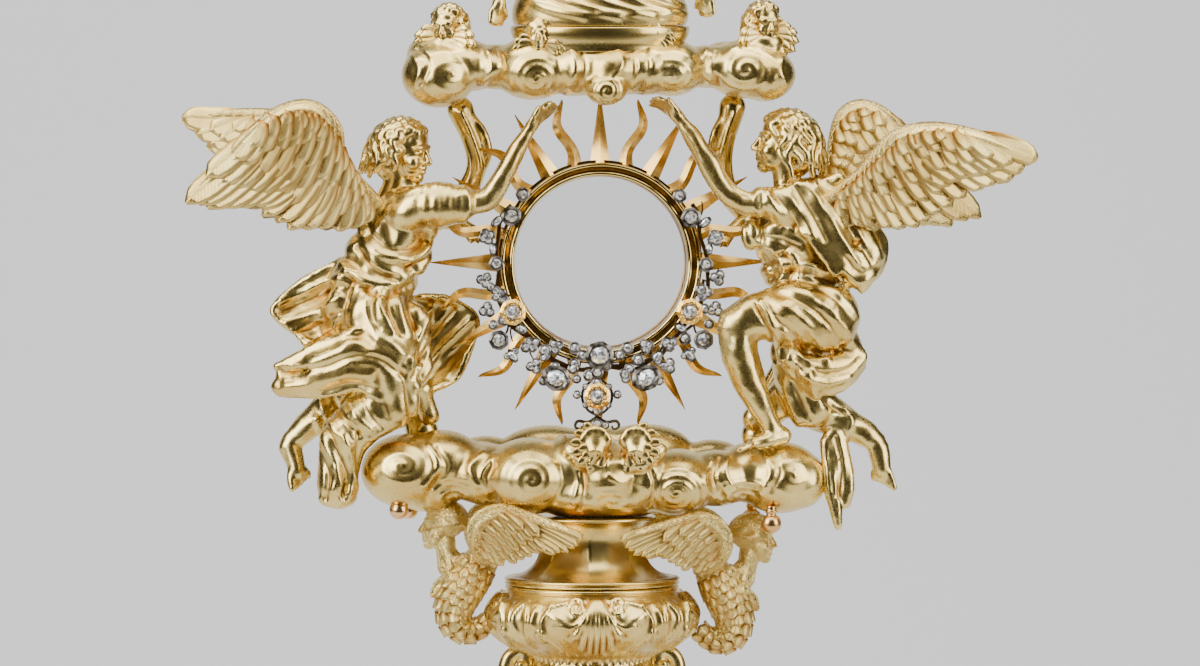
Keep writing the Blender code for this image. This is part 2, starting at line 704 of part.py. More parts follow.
def make_wing(name, side, root, edge, fans, depth):
    """Feathered wing: a bowed bone along the leading edge and fans of quills that overlap into one blade."""
    clay = Clay()
    root_radius, middle_radius = WING_THICKNESS / 2, WING_THICKNESS / 1.6

    def space(x, z):
        share = min(1.0, math.hypot(x - root[0], z - root[1]) / WING_SPAN)
        return (side * x, depth[0] + (depth[1] - depth[0]) * share, z)

    rows = [(*space(x, z), r) for x, z, r in edge]
    clay.limb(rows, 4)
    for first_root, last_root, first_tip, last_tip, count in fans:
        roots = np.linspace(first_root, last_root, count)
        tips = np.linspace(first_tip, last_tip, count)
        for start, end in zip(roots, tips):
            middle = (start + end) / 2 - (0, QUILL_SAG)
            quill_rows = [(*space(*start), root_radius), (*space(*middle), middle_radius)]
            clay.limb([*quill_rows, (*space(*end), QUILL_TIP)], 2)
    return skin(clay.object(name), 1.0, 180)


NEAR_LEFT_WING = {
    "root": (97, 468),
    "edge": [(99, 470, 3.6), (109, 482, 3.8), (114, 499, 4.0), (122, 510, 4.2), (135, 514, 4)]
    + [(152, 502, 3.6), (168, 487, 3.2), (182, 474, 2.2)],
    "fans": [
        ((150, 503), (128, 508), (182, 473), (146, 471), 9),
        ((150, 495), (122, 500), (160, 473), (124, 462), 9),
        ((126, 504), (108, 480), (140, 464), (106, 461), 9),
        ((112, 492), (102, 474), (128, 461), (103, 466), 8),
    ],
    "depth": (-14, -34),
}
FAR_LEFT_WING = {
    "root": (99, 470),
    "edge": [(100, 472, 3.2), (112, 484, 3.4), (122, 500, 3.8), (140, 508, 4)]
    + [(160, 509, 3.4), (182, 508, 2.2)],
    "fans": [
        ((160, 508), (134, 504), (181, 505), (150, 492), 8),
        ((140, 505), (112, 484), (158, 492), (122, 478), 8),
    ],
    "depth": (10, 30),
}
NEAR_RIGHT_WING = {
    "root": (98, 466),
    "edge": [(99, 468, 3.6), (106, 480, 3.8), (116, 493, 4.2), (130, 502, 4.2), (148, 502, 3.8)]
    + [(166, 498, 3.2), (180, 492, 2.6), (188, 490, 2.0)],
    "fans": [
        ((170, 497), (132, 500), (186, 488), (150, 484), 9),
        ((146, 497), (116, 490), (172, 483), (138, 462), 9),
        ((122, 492), (106, 476), (146, 462), (112, 461), 10),
        ((112, 482), (101, 470), (130, 462), (106, 462), 8),
    ],
    "depth": (-12, -30),
}
FAR_RIGHT_WING = {
    "root": (101, 470),
    "edge": [(101, 472, 3.2), (104, 486, 3.6), (106, 501, 4), (115, 510, 4.2), (128, 506, 4), (140, 494, 3.4)]
    + [(152, 478, 3.2), (162, 468, 2.8), (168, 463, 2.2)],
    "fans": [
        ((120, 507), (132, 500), (124, 474), (166, 462), 9),
        ((108, 500), (118, 506), (104, 474), (124, 474), 7),
        ((134, 498), (150, 480), (134, 474), (152, 462), 7),
    ],
    "depth": (11, 28),
}


def make_crowning_figure():
    """Bearded half figure with lowered, open arms, rising from folded drapery on the collar."""
    base = CLOUD_TOP + GAP
    clay = Clay()
    clay.limb([(-25, -3, 560, 10.5), (0, -5, 562, 13), (25, -3, 560, 10.5)])
    clay.limb([(-24, 8, 561, 9), (0, 9, 562, 12), (24, 8, 561, 9)])
    clay.limb([(0, 1, 570, 19), (0, 1, 588, 15), (0, 0, 603, 14), (0, 0, 612, 9)])
    clay.limb([(-12, -9, 566, 9), (8, -12, 580, 8), (18, -7, 598, 7)])
    clay.limb([(0, -1, 616, 6.5), (0, -2, 626, 6)])
    for side, drop in ((-1, 0), (1, 4)):
        clay.limb([(side * 12, 0, 607, 8), (side * 24, -2, 596, 8), (side * 35, -6, 584, 7.5)])
        clay.limb([(side * 33, -4, 582, 7), (side * 31, 2, 572, 8), (side * 30, 3, 562, 7)])
        clay.limb([(side * 35, -6, 584, 7), (side * 41, -9, 574, 6.5), (side * 44, -10, 565 + drop, 4)])
        hand = [(44, -10, 567, 3.6), (46, -12, 560, 3.6), (46, -13, 553, 2)]
        clay.limb([(side * x, y, z + drop, r) for x, y, z, r in hand])
    clay.ball((0, 0, 640), (10.5, 11.5, 12))
    clay.ball((0, -5, 636), (7.8, 8.2, 10.5))
    clay.limb([(0, -9, 629, 5.5), (0, -11, 619, 4.8), (0, -11.5, 609, 2.5)])
    figure = skin(clay.object("crowning_figure"), 1.2, 480)
    for vert in figure.data.vertices:
        if abs(vert.co.x) < 39 and vert.co.z < base + 1.0:
            vert.co.z = base
    return figure


# ---------------------------------------------------------------- assembly


def main():
    clear_scene()
    gold = make_material("silver_gilt", GOLD, 1.0, 0.22)
    silver = make_material("dark_silver", DARK_SILVER, 0.9, 0.4)
    glass = make_material("clear_glass", GLASS, 0.0, 0.05)
    part = make_collection("monstrance")

    stem = [make_foot(), make_baluster(), make_calyx(), make_bowl(), make_neck()]
    calyx, bowl, neck = stem[2:]
    scrolls = [make_scroll("scroll_left", -1), make_scroll("scroll_right", 1)]
    herms = [make_herm("herm_left", -1), make_herm("herm_right", 1)]

    lower, upper = make_lower_cloud(), make_upper_cloud()
    collar, crowning = make_collar(), make_crowning_figure()
    nuts = [
        make_ball_nut("ball_nut_left_front", (-89, -8, 337)),
        make_ball_nut("ball_nut_left_back", (-84, 8, 336)),
        make_ball_nut("ball_nut_right_front", (74.5, -14, 330.6)),
        make_ball_nut("ball_nut_right_back", (68, 14, 331)),
    ]
    struts = [make_strut("strut_left", LEFT_STRUT), make_strut("strut_right", RIGHT_STRUT)]
    case, burst, garland, pendant = make_case(), make_sunburst(), make_garland(), make_pendant()
    panes = [
        make_pane("glass_front", -CASE_DEPTH / 2 + 2.6),
        make_pane("glass_back", CASE_DEPTH / 2 - 2.0),
    ]
    left_wings = [
        make_wing("wing_left_near", -1, **NEAR_LEFT_WING),
        make_wing("wing_left_far", -1, **FAR_LEFT_WING),
    ]
    right_wings = [
        make_wing("wing_right_near", 1, **NEAR_RIGHT_WING),
        make_wing("wing_right_far", 1, **FAR_RIGHT_WING),
    ]
    left = make_figure("angel_left", LEFT_BODY + LEFT_CLOTH, (-86.5, -4, 494), 12, 640)
    right = make_figure("angel_right", RIGHT_BODY + RIGHT_CLOTH, (80.5, -4, 494), -6, 640)

    raised = [lower, upper, collar, crowning, *nuts, *struts, case, burst, garland, pendant, *panes]
    raised += [*left_wings, *right_wings, left, right]
    for obj in raised:
        shift(obj, UPPER_SHIFT)

    for scroll in scrolls:
        keep_clear(scroll, bowl, calyx)
    keep_clear(lower, neck)
    for herm in herms:
        keep_clear(herm, neck, bowl, lower)
    for nut in nuts:
        keep_clear(nut, lower, *herms)
    keep_clear(upper, collar)
    keep_clear(crowning, collar, upper)
    for strut in struts:
        keep_clear(strut, lower, upper)
    keep_clear(burst, lower, upper)
    keep_clear(pendant, lower, burst)
    keep_clear(garland, case, burst, pendant)
    keep_clear(left, lower, upper, struts[0], burst, *left_wings)
    keep_clear(right, lower, upper, struts[1], burst, *right_wings)

    silvered = [garland, pendant]
    golden = [obj for obj in [*stem, *scrolls, *herms, *raised] if obj not in silvered + panes]
    for obj in golden:
        finish(obj, gold, part)
    for obj in silvered:
        finish(obj, silver, part)
    for obj in panes:
        finish(obj, glass, part)


main()
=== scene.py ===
# %% [markdown]
# # A silver-gilt sun monstrance
# The frame is the plain solid model. It is loaded first and never moved. Each piece below is made finer than
# its solid, in the same place, and stands for it. Lengths are in millimetres, measured from the foot's
# middle, and a finished piece is scaled to metres.

# %% Load the frame
import json
import math
import time

import bmesh
import bpy
import numpy as np
from mathutils import Euler, Matrix, Vector

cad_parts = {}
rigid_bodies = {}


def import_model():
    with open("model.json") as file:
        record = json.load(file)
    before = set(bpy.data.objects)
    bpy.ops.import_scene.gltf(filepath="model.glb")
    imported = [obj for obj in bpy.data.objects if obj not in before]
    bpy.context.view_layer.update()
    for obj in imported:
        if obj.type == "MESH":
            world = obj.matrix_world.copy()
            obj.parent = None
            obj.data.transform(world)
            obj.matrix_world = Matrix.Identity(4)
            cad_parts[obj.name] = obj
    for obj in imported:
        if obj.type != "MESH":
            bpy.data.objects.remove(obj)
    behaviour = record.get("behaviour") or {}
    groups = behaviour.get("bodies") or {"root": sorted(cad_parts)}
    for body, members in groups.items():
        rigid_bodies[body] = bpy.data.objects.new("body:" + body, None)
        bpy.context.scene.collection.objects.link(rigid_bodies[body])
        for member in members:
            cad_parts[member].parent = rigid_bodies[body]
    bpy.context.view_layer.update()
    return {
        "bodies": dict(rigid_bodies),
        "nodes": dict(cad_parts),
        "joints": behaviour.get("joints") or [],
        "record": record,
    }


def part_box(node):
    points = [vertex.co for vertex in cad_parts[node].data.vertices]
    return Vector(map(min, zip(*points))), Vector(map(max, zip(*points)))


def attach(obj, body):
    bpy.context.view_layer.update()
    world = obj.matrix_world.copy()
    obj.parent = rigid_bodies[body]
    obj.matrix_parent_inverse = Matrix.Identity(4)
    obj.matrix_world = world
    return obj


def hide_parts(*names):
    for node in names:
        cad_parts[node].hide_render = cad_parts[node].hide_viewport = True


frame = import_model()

started = time.time()
MM = 0.001
TURN = 2 * math.pi
FLAT_HOLLOW = 0.5  # the value hollow where the surface is level


def node_box(name):
    """A frame node's lowest and highest corner in millimetres."""
    low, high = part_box(name)
    return np.array(low) / MM, np.array(high) / MM


CASE_LOW, CASE_HIGH = node_box("glazed_case")
CASE_X, CASE_Z = (CASE_LOW[0] + CASE_HIGH[0]) / 2, (CASE_LOW[2] + CASE_HIGH[2]) / 2
CASE_RADIUS = (CASE_HIGH[0] - CASE_LOW[0]) / 2
CASE_FRONT = CASE_LOW[1]
SIGHT_RADIUS = CASE_RADIUS - 5.5
print(f"case centre {CASE_X:.1f}, {CASE_Z:.1f}, radius {CASE_RADIUS:.1f} mm")

# %% [markdown]
# ## Colours and the node helper
# Colours are written as they look on a screen, so one function turns them to the linear values that a shader
# works in. One small function adds a node, sets its values and links its inputs.

# %% Colour and node helpers


def colour(code):
    """Linear red, green, blue and alpha of an sRGB hex code."""
    parts = [int(code[i : i + 2], 16) / 255 for i in (0, 2, 4)]
    return (*[c / 12.92 if c <= 0.04045 else ((c + 0.055) / 1.055) ** 2.4 for c in parts], 1.0)


def add_node(tree, kind, links=None, **settings):
    """Adds a node. Settings name its properties, or its inputs by name or number; links feed its inputs."""
    node = tree.nodes.new(kind)
    for name, value in settings.items():
        if hasattr(node, name):
            setattr(node, name, value)
        else:
            node.inputs[name.replace("_", " ")].default_value = value
    for name, source in (links or {}).items():
        tree.links.new(source, node.inputs[name])
    return node


def new_material(name):
    """An empty material with its node tree, its Principled shader and object coordinates."""
    material = bpy.data.materials.new(name)
    material.use_nodes = True
    tree = material.node_tree
    shader = tree.nodes["Principled BSDF"]
    place = add_node(tree, "ShaderNodeTexCoord").outputs["Object"]
    return material, tree, shader, place


def mottled(tree, place, scale, detail, stops):
    """A noise turned into two tones. Each stop is (share, hex code)."""
    noise = add_node(tree, "ShaderNodeTexNoise", {"Vector": place}, Scale=scale, Detail=detail).outputs["Fac"]
    ramp = add_node(tree, "ShaderNodeValToRGB", {"Fac": noise})
    for element, (share, code) in zip(ramp.color_ramp.elements, stops):
        element.position = share
        element.color = colour(code)
    return ramp.outputs[0]


# %% [markdown]
# ## Fire-gilt silver
# The castings are silver, chased and then fire-gilt: mercury gilding leaves a thick, pale gold that is
# burnished on the swells and stays duller where no burnisher reaches. Each piece carries a value called
# hollow, worked out from its own shape, that says how far a point lies down in a recess. The colour is
# painted shade there: it turns a little orange towards the hollows and dark brown in the deepest. A fine
# noise breaks up the polish, and a slow one carries the rubbed, slightly paler patches.

# %% Gilding


def fire_gilding(
    name, burnish=0.21, mottle=1.0, feather=False, light="EAD184", deep="D3B366", recess="A66E24",
):
    material, tree, shader, place = new_material(name)
    hollow = add_node(tree, "ShaderNodeAttribute", attribute_name="hollow").outputs["Fac"]
    tone = mottled(tree, place, 45.0, 3.0, ((0.35, deep), (0.68, light)))
    grain = add_node(tree, "ShaderNodeTexNoise", {"Vector": place}, Scale=900.0, Detail=4.0).outputs["Fac"]
    # Painted shade: the colour turns to the orange recess tint as hollow rises towards the hollows.
    depth = add_node(tree, "ShaderNodeMapRange", {"Value": hollow}, From_Min=0.56, From_Max=0.88)
    orange_shade_mix = add_node(tree, "ShaderNodeMix", {0: depth.outputs[0], 6: tone}, data_type="RGBA")
    orange_shade_mix.inputs[7].default_value = colour(recess)
    # Painted shade: the deepest hollows darken further, to the brown 5A3A14.
    deep_shade_mask = add_node(tree, "ShaderNodeMapRange", {"Value": hollow}, From_Min=0.84, From_Max=1.0)
    brown_shade_mix = add_node(tree, "ShaderNodeMix", {0: deep_shade_mask.outputs[0], 6: orange_shade_mix.outputs[2]}, data_type="RGBA")
    brown_shade_mix.inputs[7].default_value = colour("5A3A14")
    tree.links.new(brown_shade_mix.outputs[2], shader.inputs["Base Color"])
    rough = add_node(tree, "ShaderNodeMapRange", {"Value": hollow}, From_Min=0.45, From_Max=0.95)
    rough.inputs["To Min"].default_value = burnish
    rough.inputs["To Max"].default_value = 0.44
    speckle = add_node(tree, "ShaderNodeMath", {0: grain}, operation="MULTIPLY_ADD")
    speckle.inputs[1].default_value = 0.07 * mottle
    tree.links.new(rough.outputs[0], speckle.inputs[2])
    tree.links.new(speckle.outputs[0], shader.inputs["Roughness"])
    hammer = add_node(tree, "ShaderNodeTexNoise", {"Vector": place}, Scale=170.0, Detail=2.0).outputs["Fac"]
    skin_bump = add_node(tree, "ShaderNodeBump", {"Height": hammer}, Strength=0.10 * mottle, Distance=0.0006)
    surface = skin_bump
    if feather:
        barbs = add_node(tree, "ShaderNodeUVMap", uv_map="barbs").outputs[0]
        wave = add_node(tree, "ShaderNodeTexWave", {"Vector": barbs}, Scale=1.0, Distortion=0.6, Detail=1.0)
        wave.bands_direction = "X"
        surface = add_node(
            tree, "ShaderNodeBump", {"Height": wave.outputs["Fac"]}, Strength=0.4, Distance=0.0004,
        )
        tree.links.new(skin_bump.outputs[0], surface.inputs["Normal"])
    tree.links.new(surface.outputs[0], shader.inputs["Normal"])
    shader.inputs["Metallic"].default_value = 1.0
    return material


GILT = fire_gilding("fire_gilt_burnished")
GILT_CAST = fire_gilding("fire_gilt_chased", burnish=0.225, mottle=1.4)
GILT_FEATHER = fire_gilding("fire_gilt_feathers", burnish=0.24, mottle=1.0, feather=True)
print("gilding finishes:", GILT.name, GILT_CAST.name, GILT_FEATHER.name)

# %% [markdown]
# ## Clay, and a skin over it
# A sculptor first masses a figure in lumps and rolls of clay. The same is done here: balls, tapered bars and
# thick sheets overlap freely, and a voxel remesh draws one skin over them, which a few rounds of smoothing
# turn into cast metal. The lumps themselves are ordinary primitives from bmesh.

# %% Clay


def template(create, **settings):
    """Corner points and triangles of one bmesh primitive."""
    bm = bmesh.new()
    create(bm, **settings)
    bmesh.ops.triangulate(bm, faces=bm.faces[:])
    points = np.array([v.co[:] for v in bm.verts])
    faces = np.array([[v.index for v in f.verts] for f in bm.faces])
    bm.free()
    return points, faces


def shell_faces(rows, columns, flipped=False):
    """Triangles of a closed shell whose two faces are grids of rows by columns."""
    size = rows * columns
    index = np.arange(size).reshape(rows, columns)
    a, b = index[:-1, :-1].ravel(), index[:-1, 1:].ravel()
    c, d = index[1:, 1:].ravel(), index[1:, :-1].ravel()
    rim = np.concatenate([index[0], index[1:, -1], index[-1, -2::-1], index[-2:0:-1, 0]])
    after = np.roll(rim, -1)
    if flipped:
        top = np.vstack([np.stack([a, c, b], 1), np.stack([a, d, c], 1)])
        wall = np.vstack([
            np.stack([rim, after, after + size], 1), np.stack([rim, after + size, rim + size], 1),
        ])
    else:
        top = np.vstack([np.stack([a, b, c], 1), np.stack([a, c, d], 1)])
        wall = np.vstack([
            np.stack([rim, rim + size, after + size], 1), np.stack([rim, after + size, after], 1),
        ])
    return np.vstack([top, top[:, ::-1] + size, wall])


BALLS = {n: template(bmesh.ops.create_icosphere, subdivisions=n, radius=1.0) for n in (2, 3, 4)}
BAR = template(bmesh.ops.create_cone, cap_ends=True, segments=28, radius1=1.0, radius2=1.0, depth=1.0)


def smooth_path(points, steps):
    """A smooth curve through rows of numbers, such as (x, y, z, radius), with steps samples to each span."""
    rows = np.array(points, float)
    ends = np.vstack([2 * rows[0] - rows[1], rows, 2 * rows[-1] - rows[-2]])
    path = []
    for i in range(len(rows) - 1):
        a, b, c, d = ends[i : i + 4]
        for t in np.linspace(0, 1, steps, endpoint=False):
            cubic = (-a + 3 * b - 3 * c + d) * t**3
            path.append(0.5 * (2 * b + (c - a) * t + (2 * a - 5 * b + 4 * c - d) * t**2 + cubic))
    path.append(rows[-1])
    return np.array(path)


class Clay:
    """Lumps of clay. A frame matrix places what is added next, so a head can be made upright and turned."""

    def __init__(self):
        self.points, self.faces, self.count = [], [], 0
        self.frame = Matrix.Identity(4)

    def add(self, points, faces):
        frame = np.array(self.frame)
        self.points.append(points @ frame[:3, :3].T + frame[:3, 3])
        self.faces.append(faces + self.count)
        self.count += len(points)

    def ball(self, centre, radii, turn=(0, 0, 0)):
        radii = (radii,) * 3 if isinstance(radii, (int, float)) else radii
        spin = np.array(Euler([math.radians(a) for a in turn]).to_matrix())
        points, faces = BALLS[2 if max(radii) < 3.5 else 3 if max(radii) < 12 else 4]
        self.add((points * np.array(radii)) @ spin.T + np.array(centre), faces)

    def bar(self, start, end, radius_start, radius_end):
        start, end = Vector(start), Vector(end)
        along = end - start
        spin = np.array(along.to_track_quat("Z", "Y").to_matrix())
        points, faces = BAR
        share = points[:, 2:3] + 0.5
        flat = np.hstack([
            points[:, :2] * (radius_start + (radius_end - radius_start) * share), share * along.length,
        ])
        self.add(flat @ spin.T + np.array(start), faces)

    def limb(self, rows, steps=5):
        """A rounded limb through (x, y, z, radius) rows."""
        path = smooth_path(rows, steps)
        for a, b in zip(path, path[1:]):
            self.bar(a[:3], b[:3], a[3], b[3])
        for row in path:
            self.ball(row[:3], float(row[3]))

    def sheet(
        self, edge_a, edge_b, thickness=2.2, bulge=0.0, ripples=0.0, depth=0.0, along=0.35, steps=8,
        across=14,
    ):
        """A thick cloth between two edges. It bulges across, and ripples across and along them."""
        a, b = smooth_path(edge_a, steps), smooth_path(edge_b, steps)
        s = np.linspace(0, 1, across + 1)
        grid = a[:, None] * (1 - s)[None, :, None] + b[:, None] * s[None, :, None]
        t = np.linspace(0, 1, len(a))
        wave = depth * np.sin(TURN * (ripples * s[None, :] + along * t[:, None]))
        down, side = np.gradient(grid, axis=0), np.gradient(grid, axis=1)
        normal = np.cross(down, side)
        normal /= np.linalg.norm(normal, axis=2, keepdims=True) + 1e-9
        middle = grid + normal * (wave + bulge * np.sin(math.pi * s)[None, :])[..., None]
        half = normal * thickness / 2
        points = np.vstack([(middle + half).reshape(-1, 3), (middle - half).reshape(-1, 3)])
        self.add(points, shell_faces(*middle.shape[:2], flipped=True))

    def skin(self, name, voxel, smoothing=6):
        """The remeshed skin as an object, in millimetres."""
        obj = mesh_object(name, self.points, self.faces)
        remesh = obj.modifiers.new("skin", "REMESH")
        remesh.mode = "VOXEL"
        remesh.voxel_size = voxel
        soften = obj.modifiers.new("soften", "SMOOTH")
        soften.factor = 0.5
        soften.iterations = smoothing
        return apply_modifiers(obj)


def link(obj):
    bpy.context.scene.collection.objects.link(obj)
    return obj


def mesh_object(name, points, faces):
    """A linked object from lists of point and triangle arrays."""
    mesh = bpy.data.meshes.new(name)
    mesh.from_pydata(np.vstack(points).tolist(), [], np.vstack(faces).tolist())
    return link(bpy.data.objects.new(name, mesh))


def baked(bm, name):
    """A linked object from a bmesh, with its normals outwards."""
    bmesh.ops.recalc_face_normals(bm, faces=bm.faces[:])
    mesh = bpy.data.meshes.new(name)
    bm.to_mesh(mesh)
    bm.free()
    return link(bpy.data.objects.new(name, mesh))


def even_surface(obj):
    """The value hollow of a piece with no recesses."""
    mesh = obj.data
    values = np.full(len(mesh.vertices), FLAT_HOLLOW, np.float32)
    mesh.attributes.new("hollow", "FLOAT", "POINT").data.foreach_set("value", values)


def apply_modifiers(obj):
    """Bakes the object's modifiers into its mesh."""
    bpy.context.view_layer.update()
    graph = bpy.context.evaluated_depsgraph_get()
    mesh = bpy.data.meshes.new_from_object(obj.evaluated_get(graph))
    obj.modifiers.clear()
    obj.data = mesh
    return obj


def thin(obj, keep):
    """Leaves out triangles where the surface is even, keeping that share of them."""
    fewer = obj.modifiers.new("thin", "DECIMATE")
    fewer.ratio = keep
    return apply_modifiers(obj)


def join(name, parts):
    """One object from several, with their shared values kept."""
    with bpy.context.temp_override(active_object=parts[0], selected_editable_objects=parts):
        bpy.ops.object.join()
    parts[0].name = parts[0].data.name = name
    return parts[0]


# %% [markdown]
# ## Chasing the surface
# After casting, a chaser works the surface with punches: folds, feathers and swirls are driven in and raised.
# Here a brush does that. It moves points along their normals, either near a drawn line or by a formula.
# The last brush measures each point against a smoothed copy of the surface, which gives the value hollow.

# %% Brushes


def bump(distance, width):
    """A rounded swell: one at the line, nothing beyond the width."""
    return np.cos(np.clip(distance / width, 0, 1) * math.pi) * 0.5 + 0.5


def step(value, low, high):
    """A soft switch from nought at low to one at high."""
    t = np.clip((value - low) / (high - low), 0, 1)
    return t * t * (3 - 2 * t)


def distance_to(path, spots):
    """How far each spot lies from a line of short straight spans."""
    near = np.full(len(spots), 1e9)
    for a, b in zip(path, path[1:]):
        along = b - a
        share = np.clip(((spots - a) @ along) / (along @ along + 1e-12), 0, 1)
        near = np.minimum(near, np.linalg.norm(spots - a - share[:, None] * along, axis=1))
    return near


def drift(points, scale, seed):
    """Slow, smooth, repeatable waver of about plus or minus one, at a scale in millimetres."""
    random = np.random.default_rng(seed)
    total = np.zeros(len(points))
    for _ in range(6):
        direction = random.normal(size=3)
        direction *= random.uniform(0.7, 1.4) / np.linalg.norm(direction)
        total += np.sin(points @ direction * (TURN / scale) + random.uniform(0, 6.3))
    return total / 2.6


class Chaser:
    """Pushes a mesh's points in and out along their normals."""

    def __init__(self, obj):
        self.mesh = obj.data
        self.read()

    def read(self):
        size = len(self.mesh.vertices) * 3
        points, normals = np.empty(size), np.empty(size)
        self.mesh.vertices.foreach_get("co", points)
        self.mesh.vertices.foreach_get("normal", normals)
        self.points, self.normals = points.reshape(-1, 3), normals.reshape(-1, 3)

    def push(self, height):
        self.points = self.points + self.normals * height[:, None]
        self.mesh.vertices.foreach_set("co", self.points.ravel())
        self.mesh.update()
        self.read()

    def line(self, rows, width, facing=-1, flat=True):
        """Nearness, one to nought, to a line: (x, z) rows for faces that look one way, or (x, y, z) rows."""
        path = smooth_path(rows, 6)
        spots = self.points[:, [0, 2]] if flat else self.points
        near = np.full(len(spots), 1e9)
        low, high = path.min(0) - width, path.max(0) + width
        pick = np.where(((spots > low) & (spots < high)).all(1))[0]
        if len(pick):
            near[pick] = distance_to(path, spots[pick])
        reach = bump(near, width)
        if flat:
            reach = reach * step(self.normals[:, 1] * facing, -0.15, 0.35)
        return reach

    def folds(self, strokes, both=True):
        """Each stroke is (height, width, rows). The far side gets the same folds, so no side is left bare."""
        height = np.zeros(len(self.points))
        for lift, width, rows in strokes:
            height += lift * self.line(rows, width, -1)
            if both:
                height += lift * self.line(rows, width, 1)
        self.push(height)

    def relax(self, rounds=1):
        """Evens out the surface a little."""
        first, second = self.edges()
        count = np.bincount(np.concatenate([first, second]), minlength=len(self.points))[:, None]
        for _ in range(rounds):
            total = np.zeros_like(self.points)
            np.add.at(total, first, self.points[second])
            np.add.at(total, second, self.points[first])
            self.points = self.points * 0.5 + total / np.maximum(count, 1) * 0.5
        self.mesh.vertices.foreach_set("co", self.points.ravel())
        self.mesh.update()
        self.read()

    def edges(self):
        ends = np.empty(len(self.mesh.edges) * 2, np.int32)
        self.mesh.edges.foreach_get("vertices", ends)
        return ends[::2], ends[1::2]


def mark_hollows(obj, reach=1.2, rounds=14):
    """Writes the value hollow: half on a flat, towards one in a recess, towards nought on a crest."""
    chaser = Chaser(obj)
    first, second = chaser.edges()
    both, other = np.concatenate([first, second]), np.concatenate([second, first])
    size = len(chaser.points)
    count = np.maximum(np.bincount(both, minlength=size), 1)[:, None]
    smooth = chaser.points.copy()
    for _ in range(rounds):
        total = np.stack([np.bincount(both, smooth[other, axis], minlength=size) for axis in range(3)], 1)
        smooth = smooth * 0.4 + total / count * 0.6
    sunk = ((smooth - chaser.points) * chaser.normals).sum(1)
    value = np.clip(FLAT_HOLLOW + sunk / reach, 0, 1)
    attribute = obj.data.attributes.get("hollow") or obj.data.attributes.new("hollow", "FLOAT", "POINT")
    attribute.data.foreach_set("value", value.astype(np.float32))
    return obj


tally = {}


def finish(obj, material, node=None, smooth=None, shift=0.0):
    """Millimetres to metres, shading, finish, and the frame node that the piece stands for."""
    obj.data.transform(Matrix.Scale(MM, 4) @ Matrix.Translation((shift, 0, 0)))
    if material:
        obj.data.materials.clear()
        obj.data.materials.append(material)
    obj.data.shade_smooth()
    if smooth:
        obj.data.set_sharp_from_angle(angle=math.radians(smooth))
    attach(obj, "root")
    if node:
        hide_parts(node)
    obj.data.calc_loop_triangles()
    tally[obj.name] = len(obj.data.loop_triangles)
    print(f"{obj.name}: {tally[obj.name]} triangles, {time.time() - started:.1f} s")
    return obj


# %% [markdown]
# ## The turned stem
# Foot, baluster, calyx, knop and neck are raised from sheet and turned true before they are chased, so each
# starts as a half outline that bmesh spins round the upright axis. The outlines are smooth curves through the
# few heights that matter, which keeps the reflections flowing.

# %% Turned pieces


def turned(name, profile, steps, fine=4, oval=1.0):
    """Spins a smooth outline, given as (radius, height) rows from the top down, into a closed round piece."""
    rows = smooth_path(profile, fine)
    bm = bmesh.new()
    verts = [bm.verts.new((max(r, 0.01), 0, z)) for r, z in rows]
    verts = [bm.verts.new((0, 0, rows[0][1]))] + verts + [bm.verts.new((0, 0, rows[-1][1]))]
    edges = [bm.edges.new(pair) for pair in zip(verts, verts[1:])]
    bmesh.ops.spin(
        bm, geom=verts + edges, cent=(0, 0, 0), axis=(0, 0, 1), angle=TURN, steps=steps, use_merge=True,
    )
    bmesh.ops.remove_doubles(bm, verts=bm.verts[:], dist=0.005)
    bmesh.ops.scale(bm, vec=(1, oval, 1), verts=bm.verts[:])
    return baked(bm, name)


def arc(points):
    """The angle of each point round the stem, nought at the front, and its distance from the axis."""
    return np.arctan2(points[:, 0], -points[:, 1]), np.hypot(points[:, 0], points[:, 1])


def swell(chaser, count, low, high, depth, sharp=0.7, phase=0.0):
    """Lobes round the stem between two heights, rounded outside with a narrow groove between."""
    angle, _ = arc(chaser.points)
    wave = np.abs(np.cos(count / 2 * angle + phase)) ** sharp - 0.6
    share = np.clip((chaser.points[:, 2] - low) / (high - low), 0, 1)
    chaser.push(depth * wave * np.sin(math.pi * share) ** 0.8)


NECK_LOW, NECK_HIGH = node_box("waisted_neck")
KNOP_LOW, KNOP_HIGH = node_box("vase_knop")
CALYX_LOW, CALYX_HIGH = node_box("leaf_calyx")
STEM_LOW, STEM_HIGH = node_box("stem_baluster")
FOOT_LOW, FOOT_HIGH = node_box("foot")


def make_neck():
    low, high = NECK_LOW[2], NECK_HIGH[2]
    outline = [(24, high), (27.5, high - 0.3), (28, high - 1.4), (26.4, high - 2.6), (24.6, high - 5)]
    outline += [(22.6, high - 10), (22.8, high - 16), (25, high - 21), (29, high - 24.6), (34.5, high - 26.6)]
    outline += [
        (36.6, high - 26.8), (38.3, high - 27.2), (38.7, high - 28), (37.6, high - 28.8), (38.6, high - 29.3),
    ]
    outline += [(38.4, low)]
    neck = turned("neck", outline, 192, 5)
    chaser = Chaser(neck)
    angle, _ = arc(chaser.points)
    share = np.clip((chaser.points[:, 2] - (low + 4)) / (high - 4 - (low + 4)), 0, 1)
    panel = 1 - np.abs(np.sin(4 * angle + 0.35)) ** 0.5
    chaser.push((0.9 * panel - 0.2) * np.sin(math.pi * share) ** 0.6)
    return finish(mark_hollows(neck, 2.0, 10), GILT, "waisted_neck")


make_neck()

# %% [markdown]
# The knop is the showpiece of the stem: a shell fans out from the middle of each side, C-scrolls flank it,
# and fat lobes fill the corners. The chaser's lines are drawn on the knop as if it were unrolled, once for a
# quarter of its girth, and repeated on every quarter.

# %% Vase knop


KNOP_GIRTH_RADIUS = 44


